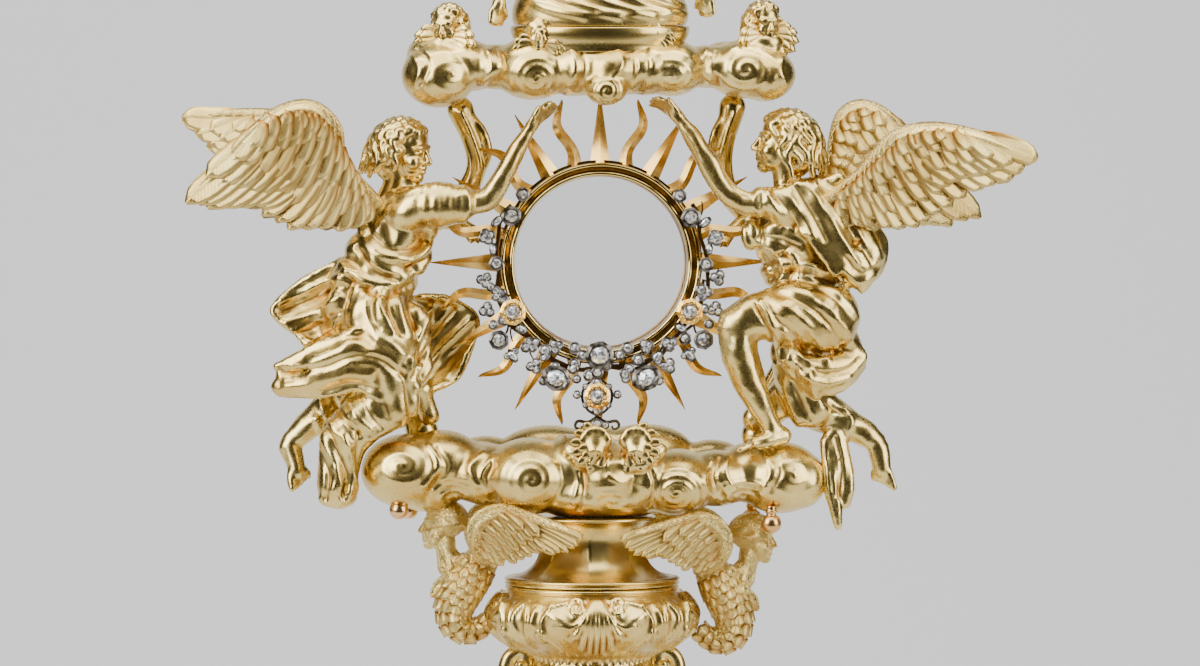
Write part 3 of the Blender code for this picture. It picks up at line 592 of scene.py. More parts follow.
def unrolled(chaser, rows, width):
    """Nearness to a line drawn as (sideways, height) on the unrolled skin, mirrored on every quarter."""
    angle, _ = arc(chaser.points)
    quarter = TURN / 4
    local = np.abs((angle + quarter / 2) % quarter - quarter / 2)
    spots = np.stack([local * KNOP_GIRTH_RADIUS, chaser.points[:, 2]], 1)
    path = smooth_path(rows, 6)
    return bump(distance_to(path, spots), width)


def spiral(x, z, size, turns=1.4, start=0.0, way=1):
    """Rows of a volute that winds in to (x, z)."""
    steps = np.linspace(0, 1, 12)
    angles = start + way * steps * turns * TURN
    reach = size * (1 - steps) ** 0.8 + 0.15
    return [(x + r * math.cos(a), z + r * math.sin(a)) for a, r in zip(angles, reach)]


def make_knop():
    low, high = KNOP_LOW[2], KNOP_HIGH[2]
    outline = [(34, high), (37.6, high - 0.2), (38.4, high - 1.3), (37.4, high - 2.4), (39.6, high - 3.6)]
    outline += [(43.4, high - 6), (46.4, high - 10), (47.3, high - 14), (46.0, high - 19), (42.6, high - 23)]
    outline += [(37, high - 27), (31.5, high - 29.6), (27.6, high - 31.2), (26.2, high - 33), (26.4, low)]
    knop = turned("knop", outline, 400, 5)
    chaser = Chaser(knop)
    top = high - 4.5
    relief = 1.1 * unrolled(chaser, [(17, low + 12), (18, high - 15), (19, high - 9)], 7.5)
    relief += 1.2 * unrolled(chaser, [(27, low + 16), (29, high - 14), (30, high - 8)], 8)
    relief += 1.0 * unrolled(chaser, [(9, high - 20), (14, high - 14), (20, high - 10)], 3.4)
    for i, spread in enumerate((0.0, 3.4, 7.0, 11.0, 15.6)):
        foot_z = low + 6.5 + i * i * 0.9
        flute = [(spread * 0.22, top), (spread * 0.5, high - 14), (spread, foot_z)]
        relief += (1.5 - 0.12 * i) * unrolled(chaser, flute, 1.7 + 0.12 * i)
        valley = [(spread * 0.3 + 0.6, top), (spread * 0.6 + 1.2, high - 14), (spread + 1.9, foot_z + 1)]
        relief -= 0.7 * unrolled(chaser, valley, 1.1)
    relief += 1.6 * unrolled(chaser, spiral(9.2, high - 7.2, 3.6, 1.5, 0.4), 1.1)
    relief += 1.3 * unrolled(
        chaser, [(5.5, top + 0.4), (9, high - 3.4), (14, high - 4.6), (20, high - 7)], 1.1,
    )
    relief += 1.4 * unrolled(
        chaser, [(20, high - 7), (23.5, high - 13), (22.5, high - 20), (18, low + 9)], 1.3,
    )
    relief += 1.4 * unrolled(chaser, spiral(24.5, high - 20.5, 2.8, 1.4, 2.2, -1), 1.0)
    relief += 1.3 * unrolled(
        chaser, [(34.5, high - 5), (31, high - 12), (32.5, high - 19), (34.5, low + 10)], 1.4,
    )
    relief += 0.9 * unrolled(chaser, [(27.5, high - 9), (28.5, high - 15)], 2.2)
    for i in range(6):
        relief += 0.9 * unrolled(chaser, [(4 + i * 5.6, low + 3.2), (5.5 + i * 5.6, low + 5.8)], 2.0)
    edge = step(chaser.points[:, 2], low + 1, low + 4) * (
        1 - step(chaser.points[:, 2], high - 4.4, high - 2.6)
    )
    chaser.push((relief - 1.0) * edge)
    return finish(mark_hollows(knop, 1.6, 12), GILT_CAST, "vase_knop")


make_knop()

# %% [markdown]
# Below the knop a calyx of upright leaves opens, then a pear-shaped baluster with gadroons stands between
# two collars, and the oval foot spreads in steps. A line of lobes round each is one formula: a cosine of the
# angle.

# %% Calyx, baluster and foot


def make_calyx():
    low, high = CALYX_LOW[2], CALYX_HIGH[2]
    outline = [(22, high), (25.3, high - 0.4), (25.6, high - 3), (24.4, high - 7), (21.6, high - 14)]
    outline += [(18.4, high - 20), (15.2, high - 26), (13.6, high - 30), (13.4, low)]
    calyx = turned("calyx", outline, 256, 5)
    chaser = Chaser(calyx)
    angle, _ = arc(chaser.points)
    share = np.clip((chaser.points[:, 2] - low) / (high - low), 0, 1)
    leaf = np.abs(np.cos(6 * angle))
    tongue = step(leaf, 0.25, 0.75) - 0.5
    rib = bump(1 - leaf, 0.10) * 0.5
    veins = 0.22 * np.sin(share * 46 + leaf * 9)
    fade = np.sin(math.pi * np.clip(share * 0.94, 0, 1)) ** 0.5
    chaser.push((1.5 * tongue + rib + veins * step(leaf, 0.3, 0.6)) * fade)
    return finish(mark_hollows(calyx, 1.6, 12), GILT_CAST, "leaf_calyx")


def make_baluster():
    low, high = STEM_LOW[2], STEM_HIGH[2]
    outline = [
        (13, high), (16, high - 0.4), (16.6, high - 2.6), (15.6, high - 5), (12, high - 7), (9.4, high - 12),
    ]
    outline += [(9, high - 19), (10.5, high - 26), (15.5, high - 33), (21.5, high - 40), (25, high - 50)]
    outline += [(24.4, high - 62), (20, high - 76), (14.4, high - 90), (10.2, high - 102), (8.6, high - 112)]
    outline += [
        (9.6, high - 117), (15.2, high - 120), (16.6, high - 125), (15.2, high - 130), (10, high - 133),
    ]
    outline += [
        (9.2, high - 138), (10.4, high - 144), (14.4, high - 149), (15.8, high - 152), (15, low + 1),
        (14, low),
    ]
    stem = turned("baluster", outline, 128, 4)
    chaser = Chaser(stem)
    swell(chaser, 14, high - 104, high - 52, 1.4)
    swell(chaser, 14, high - 50, high - 26, 1.2, 0.6, math.pi / 2)
    return finish(mark_hollows(stem, 2.2, 8), GILT, "stem_baluster")


def make_foot():
    low, high = FOOT_LOW[2], FOOT_HIGH[2]
    half = FOOT_HIGH[0]
    outline = [
        (12, high), (14.5, high - 0.5), (15.5, high - 3), (17.5, high - 8), (22, high - 14), (30, high - 19),
    ]
    outline += [(42, high - 25), (52, high - 32), (58, high - 38), (60, high - 41), (64.5, high - 41.6)]
    outline += [(67, high - 44), (75, high - 48), (82.5, high - 54), (86, high - 60), (86.6, high - 64)]
    outline += [
        (90, high - 64.6), (half - 0.6, high - 66.6), (half, high - 70), (half - 0.3, low + 0.4),
        (half - 1, low),
    ]
    foot = turned("foot_oval", outline, 240, 4, (FOOT_HIGH[1] - FOOT_LOW[1]) / (2 * half))
    chaser = Chaser(foot)
    swell(chaser, 28, high - 63, high - 42, 1.8, 0.6)
    swell(chaser, 12, high - 40, high - 12, 1.6, 0.9)
    swell(chaser, 24, high - 30, high - 6, 0.6, 0.8)
    return finish(mark_hollows(foot, 2.4, 8), GILT, "foot")


make_calyx()
make_baluster()
make_foot()

# %% [markdown]
# C-scroll brackets clasp the calyx at both sides. A bracket is a roll of clay that tapers into a curl, with a
# rib chased along its back.

# %% Scroll brackets


def make_scroll(name, side, node):
    clay = Clay()
    rows = [(27, 0, 271, 2.0), (32, 0, 273.5, 3.0), (37, 0, 270, 3.4), (38.2, 0, 262, 3.2), (35, 0, 253, 2.8)]
    rows += [(28, 0, 245.5, 2.5), (21.5, 0, 241, 2.4), (17.5, 0, 238.5, 2.2)]
    clay.limb([(side * x, y, z, r) for x, y, z, r in rows])
    curl = [(32, 0, 273.5, 2.6), (28, 0, 268, 2.2), (31, 0, 264.6, 1.9), (33.4, 0, 267.4, 1.6)]
    clay.limb([(side * x, y, z, r) for x, y, z, r in curl])
    for y in (-2.6, 2.6):
        clay.ball((side * 31.4, y, 267.6), (1.9, 1.5, 1.9))
    obj = clay.skin(name, 0.6)
    chaser = Chaser(obj)
    back = [(side * 40, 0, 268), (side * 40.5, 0, 261), (side * 37.4, 0, 252), (side * 30, 0, 243.5)]
    chaser.push(0.9 * chaser.line(back, 1.6, flat=False))
    return finish(mark_hollows(obj, 1.2, 8), GILT_CAST, node)


for side, word in ((-1, "left"), (1, "right")):
    make_scroll(f"bracket_{word}", side, f"scroll_{word}")

# %% [markdown]
# ## Feathers
# One feather is a thin closed shell: narrow at the quill, rounded at the tip, hollowed a little underneath,
# with a raised shaft. Its flat coordinates run along the barbs, so that the finish can engrave them. A wing
# is a bone along the leading edge with rows of feathers laid over one another like tiles, the long ones
# first.

# %% Feathers


FEATHER_GRIDS = {"long": (12, 7), "short": (8, 5), "scale": (6, 5)}
FEATHER_FACES = {kind: shell_faces(*grid) for kind, grid in FEATHER_GRIDS.items()}


BLADE = {"lift": 0.9, "camber": 0.05, "thick": 1.0, "ridge": 0.42}
# In COAT_SCALE, depth sets how far a scale's quill end is tinted as painted shade.
COAT_SCALE = {"bend": 0.0, "lift": 0.15, "camber": 0.12, "thick": 0.5, "ridge": 0.2, "depth": 0.42}
HERM_BLADE = {"lift": 0.3, "camber": 0.12, "thick": 0.6, "ridge": 0.25}
WING_REACH = 95.0  # from a wing's root, where it has gone its full way in or out
WING_BOW = 3.0


class Flock:
    """A set of feathers that becomes one object."""

    def __init__(self):
        self.points, self.faces, self.barbs, self.hollow, self.count = [], [], [], [], 0

    def add(
        self, base, tip, width, out, kind="short", bend=0.0, lift=0.6, camber=0.1, thick=0.7, ridge=0.3,
        depth=0.38,
    ):
        rows, columns = FEATHER_GRIDS[kind]
        base, tip, out = np.array(base, float), np.array(tip, float), np.array(out, float)
        length = np.linalg.norm(tip - base)
        along = (tip - base) / length
        side = np.cross(out, along)
        side /= np.linalg.norm(side)
        out = np.cross(along, side)
        u = np.linspace(0, 1, rows)[:, None]
        v = np.linspace(-1, 1, columns)[None, :]
        half = width / 2 * np.minimum(1, 0.55 + 1.1 * u) * np.sqrt(
            1 - np.clip((u - 0.7) / 0.3, 0, 0.99) ** 2.2
        )
        rise = lift * u**2 + camber * width * (1 - v**2) + ridge * (np.abs(v) < 0.2) * (1 - 0.6 * u)
        sway = bend * length * np.sin(math.pi * u) * 0.5
        middle = base + along * (length * u[..., None]) + side * (
            half * v + sway
        )[..., None] + out * rise[..., None]
        self.points.append(middle.reshape(-1, 3))
        self.points.append((middle - out * thick).reshape(-1, 3))
        self.faces.append(FEATHER_FACES[kind] + self.count)
        barb = 0.4 * (length * u - 0.9 * half * np.abs(v)) + 0 * v
        flat = np.stack([barb.ravel(), (v + 0 * u).ravel()], 1)
        self.barbs += [flat, flat]
        # Painted shade: hollow is set by formula, highest at the quill end where the row above covers it
        # (depth sets how far), raised at the edges and on the underside, so these take the orange and brown
        # tint.
        sunk = FLAT_HOLLOW + depth * (1 - u) ** 2 - 0.1 * (u > 0.9) + 0.12 * (np.abs(v) > 0.9)
        sunk = sunk - 0.08 * (np.abs(v) < 0.2)
        self.hollow += [sunk.ravel(), sunk.ravel() + 0.1]
        self.count += 2 * rows * columns

    def object(self, name):
        obj = mesh_object(name, self.points, self.faces)
        mesh = obj.data
        flat = np.vstack(self.barbs)
        corners = np.empty(len(mesh.loops), np.int32)
        mesh.loops.foreach_get("vertex_index", corners)
        mesh.uv_layers.new(name="barbs").data.foreach_set("uv", flat[corners].ravel())
        value = np.clip(np.concatenate(self.hollow), 0, 1).astype(np.float32)
        mesh.attributes.new("hollow", "FLOAT", "POINT").data.foreach_set("value", value)
        return obj


def evenly(rows, count):
    """Evenly spaced points along a smooth curve."""
    path = smooth_path(rows, 10)
    reach = np.concatenate([[0], np.cumsum(np.linalg.norm(np.diff(path, axis=0), axis=1))])
    marks = np.linspace(0, reach[-1], count)
    return np.stack([np.interp(marks, reach, path[:, axis]) for axis in range(path.shape[1])], 1)


def wing_depth(x, z, wing):
    """How far in or out the blade of the wing lies, bowed a little like a real one."""
    share = min(1.0, math.hypot(x - wing["root"][0], z - wing["root"][1]) / WING_REACH)
    bow = WING_BOW * math.sin(math.pi * share)
    return wing["depth"][0] + (wing["depth"][1] - wing["depth"][0]) * share + bow * np.sign(wing["depth"][1])


def make_wing(name, side, wing, node):
    """A bone and a thin blade of clay, then rows of feathers on both faces."""
    clay = Clay()
    arm = [(side * x, wing_depth(x, z, wing), z, r) for x, z, r in wing["arm"]]
    clay.limb(arm)
    under = [(side * x, wing_depth(x, z, wing), z) for x, z in wing["under"]]
    clay.sheet([row[:3] for row in arm], under, 2.4)
    core = clay.skin(name, 0.8, 5)
    mark_hollows(core, 1.6, 8)
    core.data.uv_layers.new(name="barbs")
    flock = Flock()
    random = np.random.default_rng(wing["seed"])
    for kind, bases, tips, count, width, layer in wing["rows"]:
        starts, ends = evenly(bases, count), evenly(tips, count)
        for face in (-1, 1):
            for i, ((ax, az), (bx, bz)) in enumerate(zip(starts, ends)):
                bx, bz = bx + random.uniform(-1.2, 1.2), bz + random.uniform(-1.2, 1.2)
                lay = layer + 0.9 + 0.25 * (i % 2)
                start = (side * ax, wing_depth(ax, az, wing) + face * lay * 0.9, az)
                end = (side * bx, wing_depth(bx, bz, wing) + face * (lay * 0.75 + 0.2), bz)
                tilt = 0.22 + random.uniform(-0.07, 0.07)
                out = (tilt * side, face, 0.12)
                bend = wing.get("bend", 0.05) * (1 if kind == "long" else 0.5) * side * face
                flock.add(start, end, width * random.uniform(0.94, 1.08), out, kind, bend, **BLADE)
    obj = join(name, [flock.object(name + "_feathers"), core])
    return finish(obj, GILT_FEATHER, node, shift=CASE_X)


LEFT_NEAR = {
    "seed": 3,
    "root": (97, 468),
    "depth": (-13, -31),
    "arm": [
        (99, 472, 3.4), (106, 479, 3.6), (114, 487, 3.8), (116.5, 497, 4.0), (117.6, 504, 4.2),
        (123, 511, 4.2),
    ]
    + [(131, 514, 4.0), (142, 511, 3.7), (152, 503.4, 3.3), (168, 487, 2.4), (180, 475.5, 1.4)],
    "under": [
        (101, 464), (108, 466), (113, 471), (116, 476), (120, 480), (125, 484), (131, 486), (140, 486),
        (150, 484),
    ]
    + [(164, 480), (178, 473.6)],
    "rows": [
        ("long", [(146, 505), (136, 502), (124, 492)], [(183, 473), (168, 470.5), (150, 471)], 7, 11.6, 0.0),
        (
            "long", [(124, 494), (116, 486), (107, 476)], [(148, 467), (138, 461.5), (120, 460), (103, 462)],
            8, 10.4, 0.3,
        ),
        ("short", [(150, 504), (138, 504), (124, 498)], [(172, 483), (160, 478), (146, 477)], 6, 10.3, 1.0),
        ("short", [(126, 500), (118, 490), (106, 477)], [(144, 475), (132, 467.5), (106, 465)], 8, 10.1, 1.1),
        (
            "short", [(150, 506), (136, 508), (122, 502), (107, 479)],
            [(162, 491), (146, 483), (128, 474.5), (105, 469)], 11, 9.2, 1.7,
        ),
        (
            "scale", [(148, 508), (132, 511), (120, 504), (109, 483)],
            [(155, 497), (138, 491), (124, 482.5), (106, 473)], 11, 9.0, 2.3,
        ),
        (
            "scale", [(144, 511), (129, 512), (118, 504), (111, 487)],
            [(147, 501), (133, 498.5), (122, 490), (108, 478)], 10, 8.1, 2.8,
        ),
        ("scale", [(138, 513), (126, 512), (117, 503)], [(139, 506), (129.5, 504), (121, 496)], 5, 7.2, 3.1),
    ],
}
LEFT_FAR = {
    "seed": 5,
    "root": (99, 470),
    "depth": (10, 30),
    "arm": [
        (100, 472, 3.2), (112, 486, 3.4), (124, 500, 3.6), (140, 508, 3.4), (158, 509.6, 2.8),
        (180, 508.4, 1.4),
    ],
    "under": [(103, 464), (116, 474), (128, 484), (142, 493), (158, 501), (176, 505)],
    "rows": [
        (
            "long", [(150, 508), (138, 504), (124, 492)],
            [(182.5, 507.6), (174, 497), (160, 488), (144, 478)], 7, 11.0, 0.0,
        ),
        ("long", [(122, 494), (106, 478)], [(140, 476), (126, 468), (106, 462)], 7, 9.8, 0.2),
        ("short", [(156, 509), (136, 506), (110, 484)], [(172, 503), (156, 492), (120, 468)], 9, 9.5, 1.0),
        ("short", [(152, 510), (130, 504), (106, 480)], [(160, 503), (142, 492), (112, 470)], 10, 8.2, 1.6),
        ("scale", [(146, 510), (126, 502), (106, 480)], [(150, 505), (132, 493), (108, 472)], 9, 8.1, 2.2),
    ],
}
RIGHT_NEAR = {
    "seed": 7,
    "root": (98, 466),
    "depth": (-11, -28),
    "bend": -0.05,
    "arm": [
        (99, 472, 3.4), (107, 478, 3.6), (115, 484.5, 3.8), (122, 493, 4.0), (129, 500, 4.2),
        (140, 503.4, 4.0),
    ]
    + [(152, 503.4, 3.5), (168, 499.8, 2.8), (186, 492.4, 1.4)],
    "under": [
        (102, 464), (109, 465), (116, 468), (124, 473), (132, 477), (142, 481), (154, 485), (168, 488),
        (184, 489.6),
    ],
    "rows": [
        (
            "long", [(158, 501), (146, 499), (134, 492)],
            [(190, 490.6), (182, 484), (168, 478.5), (153, 472)], 7, 11.2, 0.0,
        ),
        (
            "long", [(132, 494), (122, 484), (108, 474)],
            [(152, 470), (142, 463.5), (128, 459.5), (108, 461.5)], 9, 10.2, 0.3,
        ),
        (
            "short", [(162, 501), (146, 502), (130, 494)], [(180, 489.5), (168, 484.5), (152, 479)], 7, 10.1,
            1.0,
        ),
        (
            "short", [(132, 496), (122, 487), (106, 475)], [(148, 476.5), (134, 468), (108, 464.5)], 8, 9.8,
            1.1,
        ),
        (
            "short", [(158, 503), (140, 502.5), (126, 494), (107, 476)],
            [(170, 492.5), (152, 485.5), (132, 475.5), (108, 468)], 11, 9.0, 1.7,
        ),
        (
            "scale", [(154, 504), (138, 504), (125, 495), (108, 478)],
            [(161, 496.5), (144, 491), (128, 481), (108, 472)], 11, 8.7, 2.3,
        ),
        (
            "scale", [(146, 504.5), (132, 502), (121, 491), (109, 480)],
            [(151, 499), (137, 494.5), (125, 485.5), (110, 475)], 9, 7.8, 2.8,
        ),
    ],
}
RIGHT_FAR = {
    "seed": 9,
    "root": (101, 470),
    "depth": (11, 27),
    "arm": [
        (101, 473, 3.0), (103.5, 486, 3.3), (105.5, 499, 3.6), (109, 508.5, 3.8), (116, 512.4, 3.8),
        (125, 510, 3.6),
    ]
    + [(134, 502, 3.2), (148, 484, 2.4), (164, 467, 1.4)],
    "under": [
        (106, 466), (110, 472), (114, 478), (118, 482), (123, 484), (129, 483), (136, 479), (147, 472),
        (160, 465),
    ],
    "rows": [
        (
            "long", [(136, 498), (128, 494), (118, 482)],
            [(169, 463.6), (158, 459.5), (142, 460), (128, 462)], 8, 11.0, 0.0,
        ),
        ("long", [(118, 484), (107, 472)], [(130, 462), (108, 460)], 5, 9.8, 0.2),
        ("short", [(136, 502), (126, 500), (112, 484)], [(156, 475), (144, 470), (122, 466)], 7, 10.1, 1.0),
        ("scale", [(132, 506), (118, 502), (106, 476)], [(142, 488), (126, 482), (108, 466)], 8, 9.6, 1.7),
        ("scale", [(128, 509), (114, 506), (104, 482)], [(133, 499), (119, 491), (108, 473)], 8, 9.0, 2.2),
        ("scale", [(124, 511), (112, 509), (104, 488)], [(126, 504), (115, 499), (107, 480)], 7, 8.4, 2.6),
        (
            "scale", [(118, 512.5), (108, 507), (104, 492)], [(119, 507.5), (111, 501.5), (107, 486)], 6, 7.5,
            3.0,
        ),
    ],
}
make_wing("wing_left_front", -1, LEFT_NEAR, "wing_left_near")
make_wing("wing_left_back", -1, LEFT_FAR, "wing_left_far")
make_wing("wing_right_front", 1, RIGHT_NEAR, "wing_right_near")
make_wing("wing_right_back", 1, RIGHT_FAR, "wing_right_far")

# %% [markdown]
# ## Clouds
# Both banks of cloud are raised from sheet in soft lumps. A swirl is chased as rings that wind out from a
# boss and fade away, and combed streaks run between the swirls.

# %% Banks of cloud


def swirl(chaser, centre, reach, spacing, depth, twist=1.0, facing=-1, stretch=1.0):
    """Rings that wind out round a point seen from the front (facing -1) or the back (1)."""
    dx = (chaser.points[:, 0] - centre[0]) / stretch
    dz = chaser.points[:, 2] - centre[1]
    distance = np.hypot(dx, dz)
    turn = np.arctan2(dz, dx) / TURN * twist
    ring = 0.62 * np.cos(TURN * (distance / spacing - turn))
    fade = np.clip(1 - distance / reach, 0, 1) ** 0.6 * step(chaser.normals[:, 1] * facing, 0.0, 0.5)
    boss = 0.9 * bump(distance, spacing * 0.7)
    return depth * (ring + boss) * fade


LOWER_BANK = [
    ((-85, -2, 353.5), (20.5, 19, 16.5)),
    ((-70, 0, 357), (19, 18, 14.5)),
    ((-76, 2, 347), (17, 17, 12)),
    ((-53, 0, 354.5), (15, 15, 11.5)),
    ((-31, -9, 351.5), (21.5, 22.5, 17)),
    ((-14, -9, 354), (12, 18, 16)),
    ((2, -9, 351), (17, 25, 17)),
    ((19, -8, 350), (14, 22, 15.5)),
    ((33, -8, 348.5), (18, 22, 15)),
    ((52, 0, 351), (15, 14, 10)),
    ((66, 0, 352), (15, 17, 13.5)),
    ((79, -2, 350), (19.5, 19, 16)),
    ((88, -2, 349), (12, 16, 13)),
    ((-22, 14, 360), (23, 16, 12.5)),
    ((20, 14, 361), (22, 15, 12)),
    ((-2, 16, 362), (14, 14, 11)),
    ((-50, 13, 357), (16, 13, 11)),
    ((-50, -4, 352), (20, 17, 13.5)),
    ((51, -4, 350), (18, 17, 12.5)),
    ((0, -5, 344.6), (33, 25, 13.8)),
    ((50, 13, 355), (16, 13, 11)),
]


# centre, reach, spacing, depth, twist, facing, stretch
LOWER_SWIRLS = [
    ((-31.5, 351), 19, 4.0, 0.26, 1),
    ((31.7, 344.5), 15, 3.0, 0.45, -1, -1, 1.15),
    ((-88, 357), 13, 4.2, 0.35, 1, -1, 1.3),
    ((-64, 342), 11, 2.8, 0.45, 1, -1, 1.6),
    ((62, 342), 10, 2.6, 0.45, -1, -1, 1.7),
    ((84, 352), 16, 5.2, 0.30, 1, -1, 1.1),
    ((4, 341), 11, 3.4, 0.35, 1, -1, 1.8),
    ((-60, 352), 20, 4.4, 0.5, 1, 1),
    ((-22, 356), 20, 4.4, 0.5, -1, 1),
    ((24, 358), 20, 4.4, 0.5, 1, 1),
    ((62, 350), 20, 4.4, 0.5, -1, 1),
]


def cherub_pair(clay, centre_x):
    """Two small faces side by side in the cloud, ringed with locks, and their folded wings below."""
    for side in (-1, 1):
        head = (centre_x + side * 8.8, -27.5, 366.5)
        clay.ball(head, (6.6, 6.4, 7.2))
        clay.ball((head[0] + side * 0.3, head[1] - 3.4, head[2] - 2.2), (4.2, 3.8, 4.4))
        clay.ball((head[0] + side * 0.3, head[1] - 6.9, head[2] - 1.8), (0.9, 1.1, 1.1))
        for cheek in (-1, 1):
            clay.ball((head[0] + cheek * 2.5, head[1] - 5.0, head[2] - 3.2), (1.9, 1.7, 1.9))
        for i in range(11):
            angle = math.radians(-8 + i * 19.5)
            x, z = head[0] + 6.0 * math.cos(angle), head[2] + 1.5 + 5.6 * math.sin(angle)
            clay.ball((x, head[1] - 2.0 - 1.2 * (i % 2), z), 1.9)
        clay.limb([(centre_x + side * 2, -29, 357.5, 3.2), (centre_x + side * 12, -29, 358, 3.6)])
        clay.limb([(centre_x + side * 12, -29, 358, 3.6), (centre_x + side * 20, -25, 364, 3.4)])


NECK_TOP = node_box("waisted_neck")[1][2]


def make_lower_cloud():
    clay = Clay()
    for centre, radii in LOWER_BANK:
        clay.ball(centre, radii)
    cherub_pair(clay, 5.2)
    cloud = clay.skin("lower_cloud", 0.72, 26)
    chaser = Chaser(cloud)
    chaser.push(sum(swirl(chaser, *row) for row in LOWER_SWIRLS))
    under = np.hypot(chaser.points[:, 0] + CASE_X, chaser.points[:, 1]) < 29
    under &= chaser.points[:, 2] < NECK_TOP + 0.4
    chaser.points[under, 2] = NECK_TOP + 0.4
    streaks = [
        (0.8, 2.6, [(-52, 362), (-58, 356), (-55, 348)]), (0.7, 2.2, [(-47, 361), (-53, 353), (-50, 345)]),
    ]
    streaks += [
        (-0.9, 2.4, [(-48, 357), (-51, 350), (-47, 342)]), (0.8, 2.4, [(-76, 365), (-72, 357), (-78, 348)]),
    ]
    streaks += [
        (-0.8, 2.2, [(-72, 364), (-68, 356), (-74, 347)]), (0.8, 2.0, [(-12, 359), (-11, 350), (-13, 341)]),
    ]
    streaks += [
        (-1.1, 1.8, [(-9.5, 360), (-8.5, 349), (-10.5, 338)]), (0.8, 2.2, [(48, 358), (45, 350), (49, 342)]),
    ]
    streaks += [
        (-0.9, 2.0, [(51.5, 359), (49, 351), (53, 343)]), (0.7, 2.2, [(56, 361), (54, 353), (58, 346)]),
    ]
    streaks += [(0.8, 2.6, [(70, 363), (74, 354), (70, 344)]), (-0.7, 2.2, [(74, 363), (78, 354), (74, 345)])]
    streaks += [
        (-0.8, 1.8, [(20.5, 356), (22.5, 348), (20, 339)]), (0.6, 2.2, [(14, 353), (8, 350), (2, 353)]),
    ]
    chaser.folds(streaks, both=False)
    for side in (-1, 1):
        crescents = []
        for i in range(6):
            out = 2.0 + i * 3.0
            crescents.append((
                0.8, 1.0, [(5.2 + side * out, 362 - i * 0.2), (5.2 + side * (out + 2.4), 357.5 + i * 0.7)],
            ))
            crescents.append((
                -0.6, 0.8, [(5.2 + side * (out + 1.5), 362), (5.2 + side * (out + 3.9), 357.5 + i * 0.7)],
            ))
        chaser.folds(crescents, both=False)
    flock = Flock()
    for side in (-1, 1):
        for row, count in enumerate((7, 6)):
            for i in range(count):
                angle = math.radians(-85 + i * 23 + row * 8)
                reach = 15.5 - row * 3.6
                centre = np.array([5.2 + side * 4.0, -31.4 - row * 0.8, 366.0])
                rise = 0.5 + max(0, math.sin(angle)) * 3
                tip = centre + np.array([
                    side * reach * math.cos(angle) * 1.05, rise, reach * math.sin(angle) * 0.8,
                ])
                base = centre + (tip - centre) * 0.42
                flock.add(base, tip, 4.2, (0, -1, -0.12), "short", 0.06 * side, camber=0.14)
    thin(mark_hollows(cloud, 1.7, 12), 0.36)
    cloud.data.uv_layers.new(name="barbs")
    cloud = join("lower_cloud", [cloud, flock.object("cherub_feathers")])
    return finish(cloud, GILT_CAST, "cloud_lower", shift=CASE_X)


make_lower_cloud()

# %% [markdown]
# ## Sunburst, glazed case and garland
# Twenty-four rays stand on a ring behind the case, straight and waved turn about. A ray is forged to a
# ridge, so its section is a flat lozenge. The case is spun like the stem, but round the level axis: a cove,
# a bright bezel round the glass, and a deep drum. Two panes close it, front and back, and the space between
# them is empty.

# %% Sunburst

RAY_COUNT = 24
RAY_ROOT = CASE_RADIUS - 0.6
RAY_REACH = (node_box("sunburst")[1][2] - node_box("sunburst")[0][2]) / 2


def ray_rows(waved, reach, lean=0.0):
    """Middle line and half width of a ray along its length, for one lying along +X from its root."""
    s = np.linspace(0, 1, 25 if waved else 9)
    along = RAY_ROOT + (reach - RAY_ROOT) * s
    if waved:
        sway = 3.1 * np.sin(TURN * 1.12 * s + 0.4) * (0.35 + 0.65 * s) - 3.1 * math.sin(0.4) * 0.35
        half = 3.3 * (1 - s) ** 0.62 * (1 - 0.15 * np.sin(6.3 * s)) + 0.16
    else:
        sway = lean * s
        half = 4.3 * (1 - s) + 0.14
    return along, sway, half


def make_sunburst():
    bm = bmesh.new()
    for i in range(RAY_COUNT):
        waved = i % 2 == 1
        reach = RAY_REACH - (1.5 if waved else 0.0)
        along, sway, half = ray_rows(waved, reach)
        flip = -1 if (i // 2) % 2 else 1
        slope = np.gradient(sway * flip, along)
        across = np.stack([-slope, np.ones_like(slope)], 1) / np.hypot(1, slope)[:, None]
        spin = Matrix.Rotation(-TURN * i / RAY_COUNT, 3, "Y")
        rings = []
        for x, z, w, (cx, cz) in zip(along, sway * flip, half, across):
            thick = min(2.2, 0.6 * w + 0.4)
            corners = [
                (x + cx * w, 0, z + cz * w), (x, -thick, z), (x - cx * w, 0, z - cz * w), (x, thick, z),
            ]
            rings.append([bm.verts.new(spin @ Vector(corner)) for corner in corners])
        for a, b in zip(rings, rings[1:]):
            for k in range(4):
                bm.faces.new((a[k], a[(k + 1) % 4], b[(k + 1) % 4], b[k]))
        bm.faces.new(rings[0][::-1])
        bm.faces.new(rings[-1])
    ridge = [e for e in bm.edges if len(e.link_faces) == 2 and e.calc_face_angle(0) > 0.35]
    bevel = {"offset": 0.16, "segments": 2, "profile": 0.5, "affect": "EDGES", "material": -1}
    bmesh.ops.bevel(bm, geom=ridge, clamp_overlap=True, **bevel)
    band = [(RAY_ROOT + 1.6, -1.3), (RAY_ROOT + 1.6, 1.3), (RAY_ROOT - 1.2, 1.3), (RAY_ROOT - 1.2, -1.3)]
    verts = [bm.verts.new((r, y, 0)) for r, y in band]
    edges = [bm.edges.new((verts[k], verts[(k + 1) % 4])) for k in range(4)]
    bmesh.ops.spin(
        bm, geom=verts + edges, cent=(0, 0, 0), axis=(0, 1, 0), angle=TURN, steps=144, use_merge=True,
    )
    bmesh.ops.translate(bm, vec=(0, 0, CASE_Z), verts=bm.verts[:])
    rays = baked(bm, "rays")
    even_surface(rays)
    return finish(rays, GILT_RAYS, "sunburst", smooth=28, shift=CASE_X)


GILT_RAYS = fire_gilding("fire_gilt_rays", burnish=0.13, mottle=1.4, light="DDB96C", deep="BC9248")
make_sunburst()

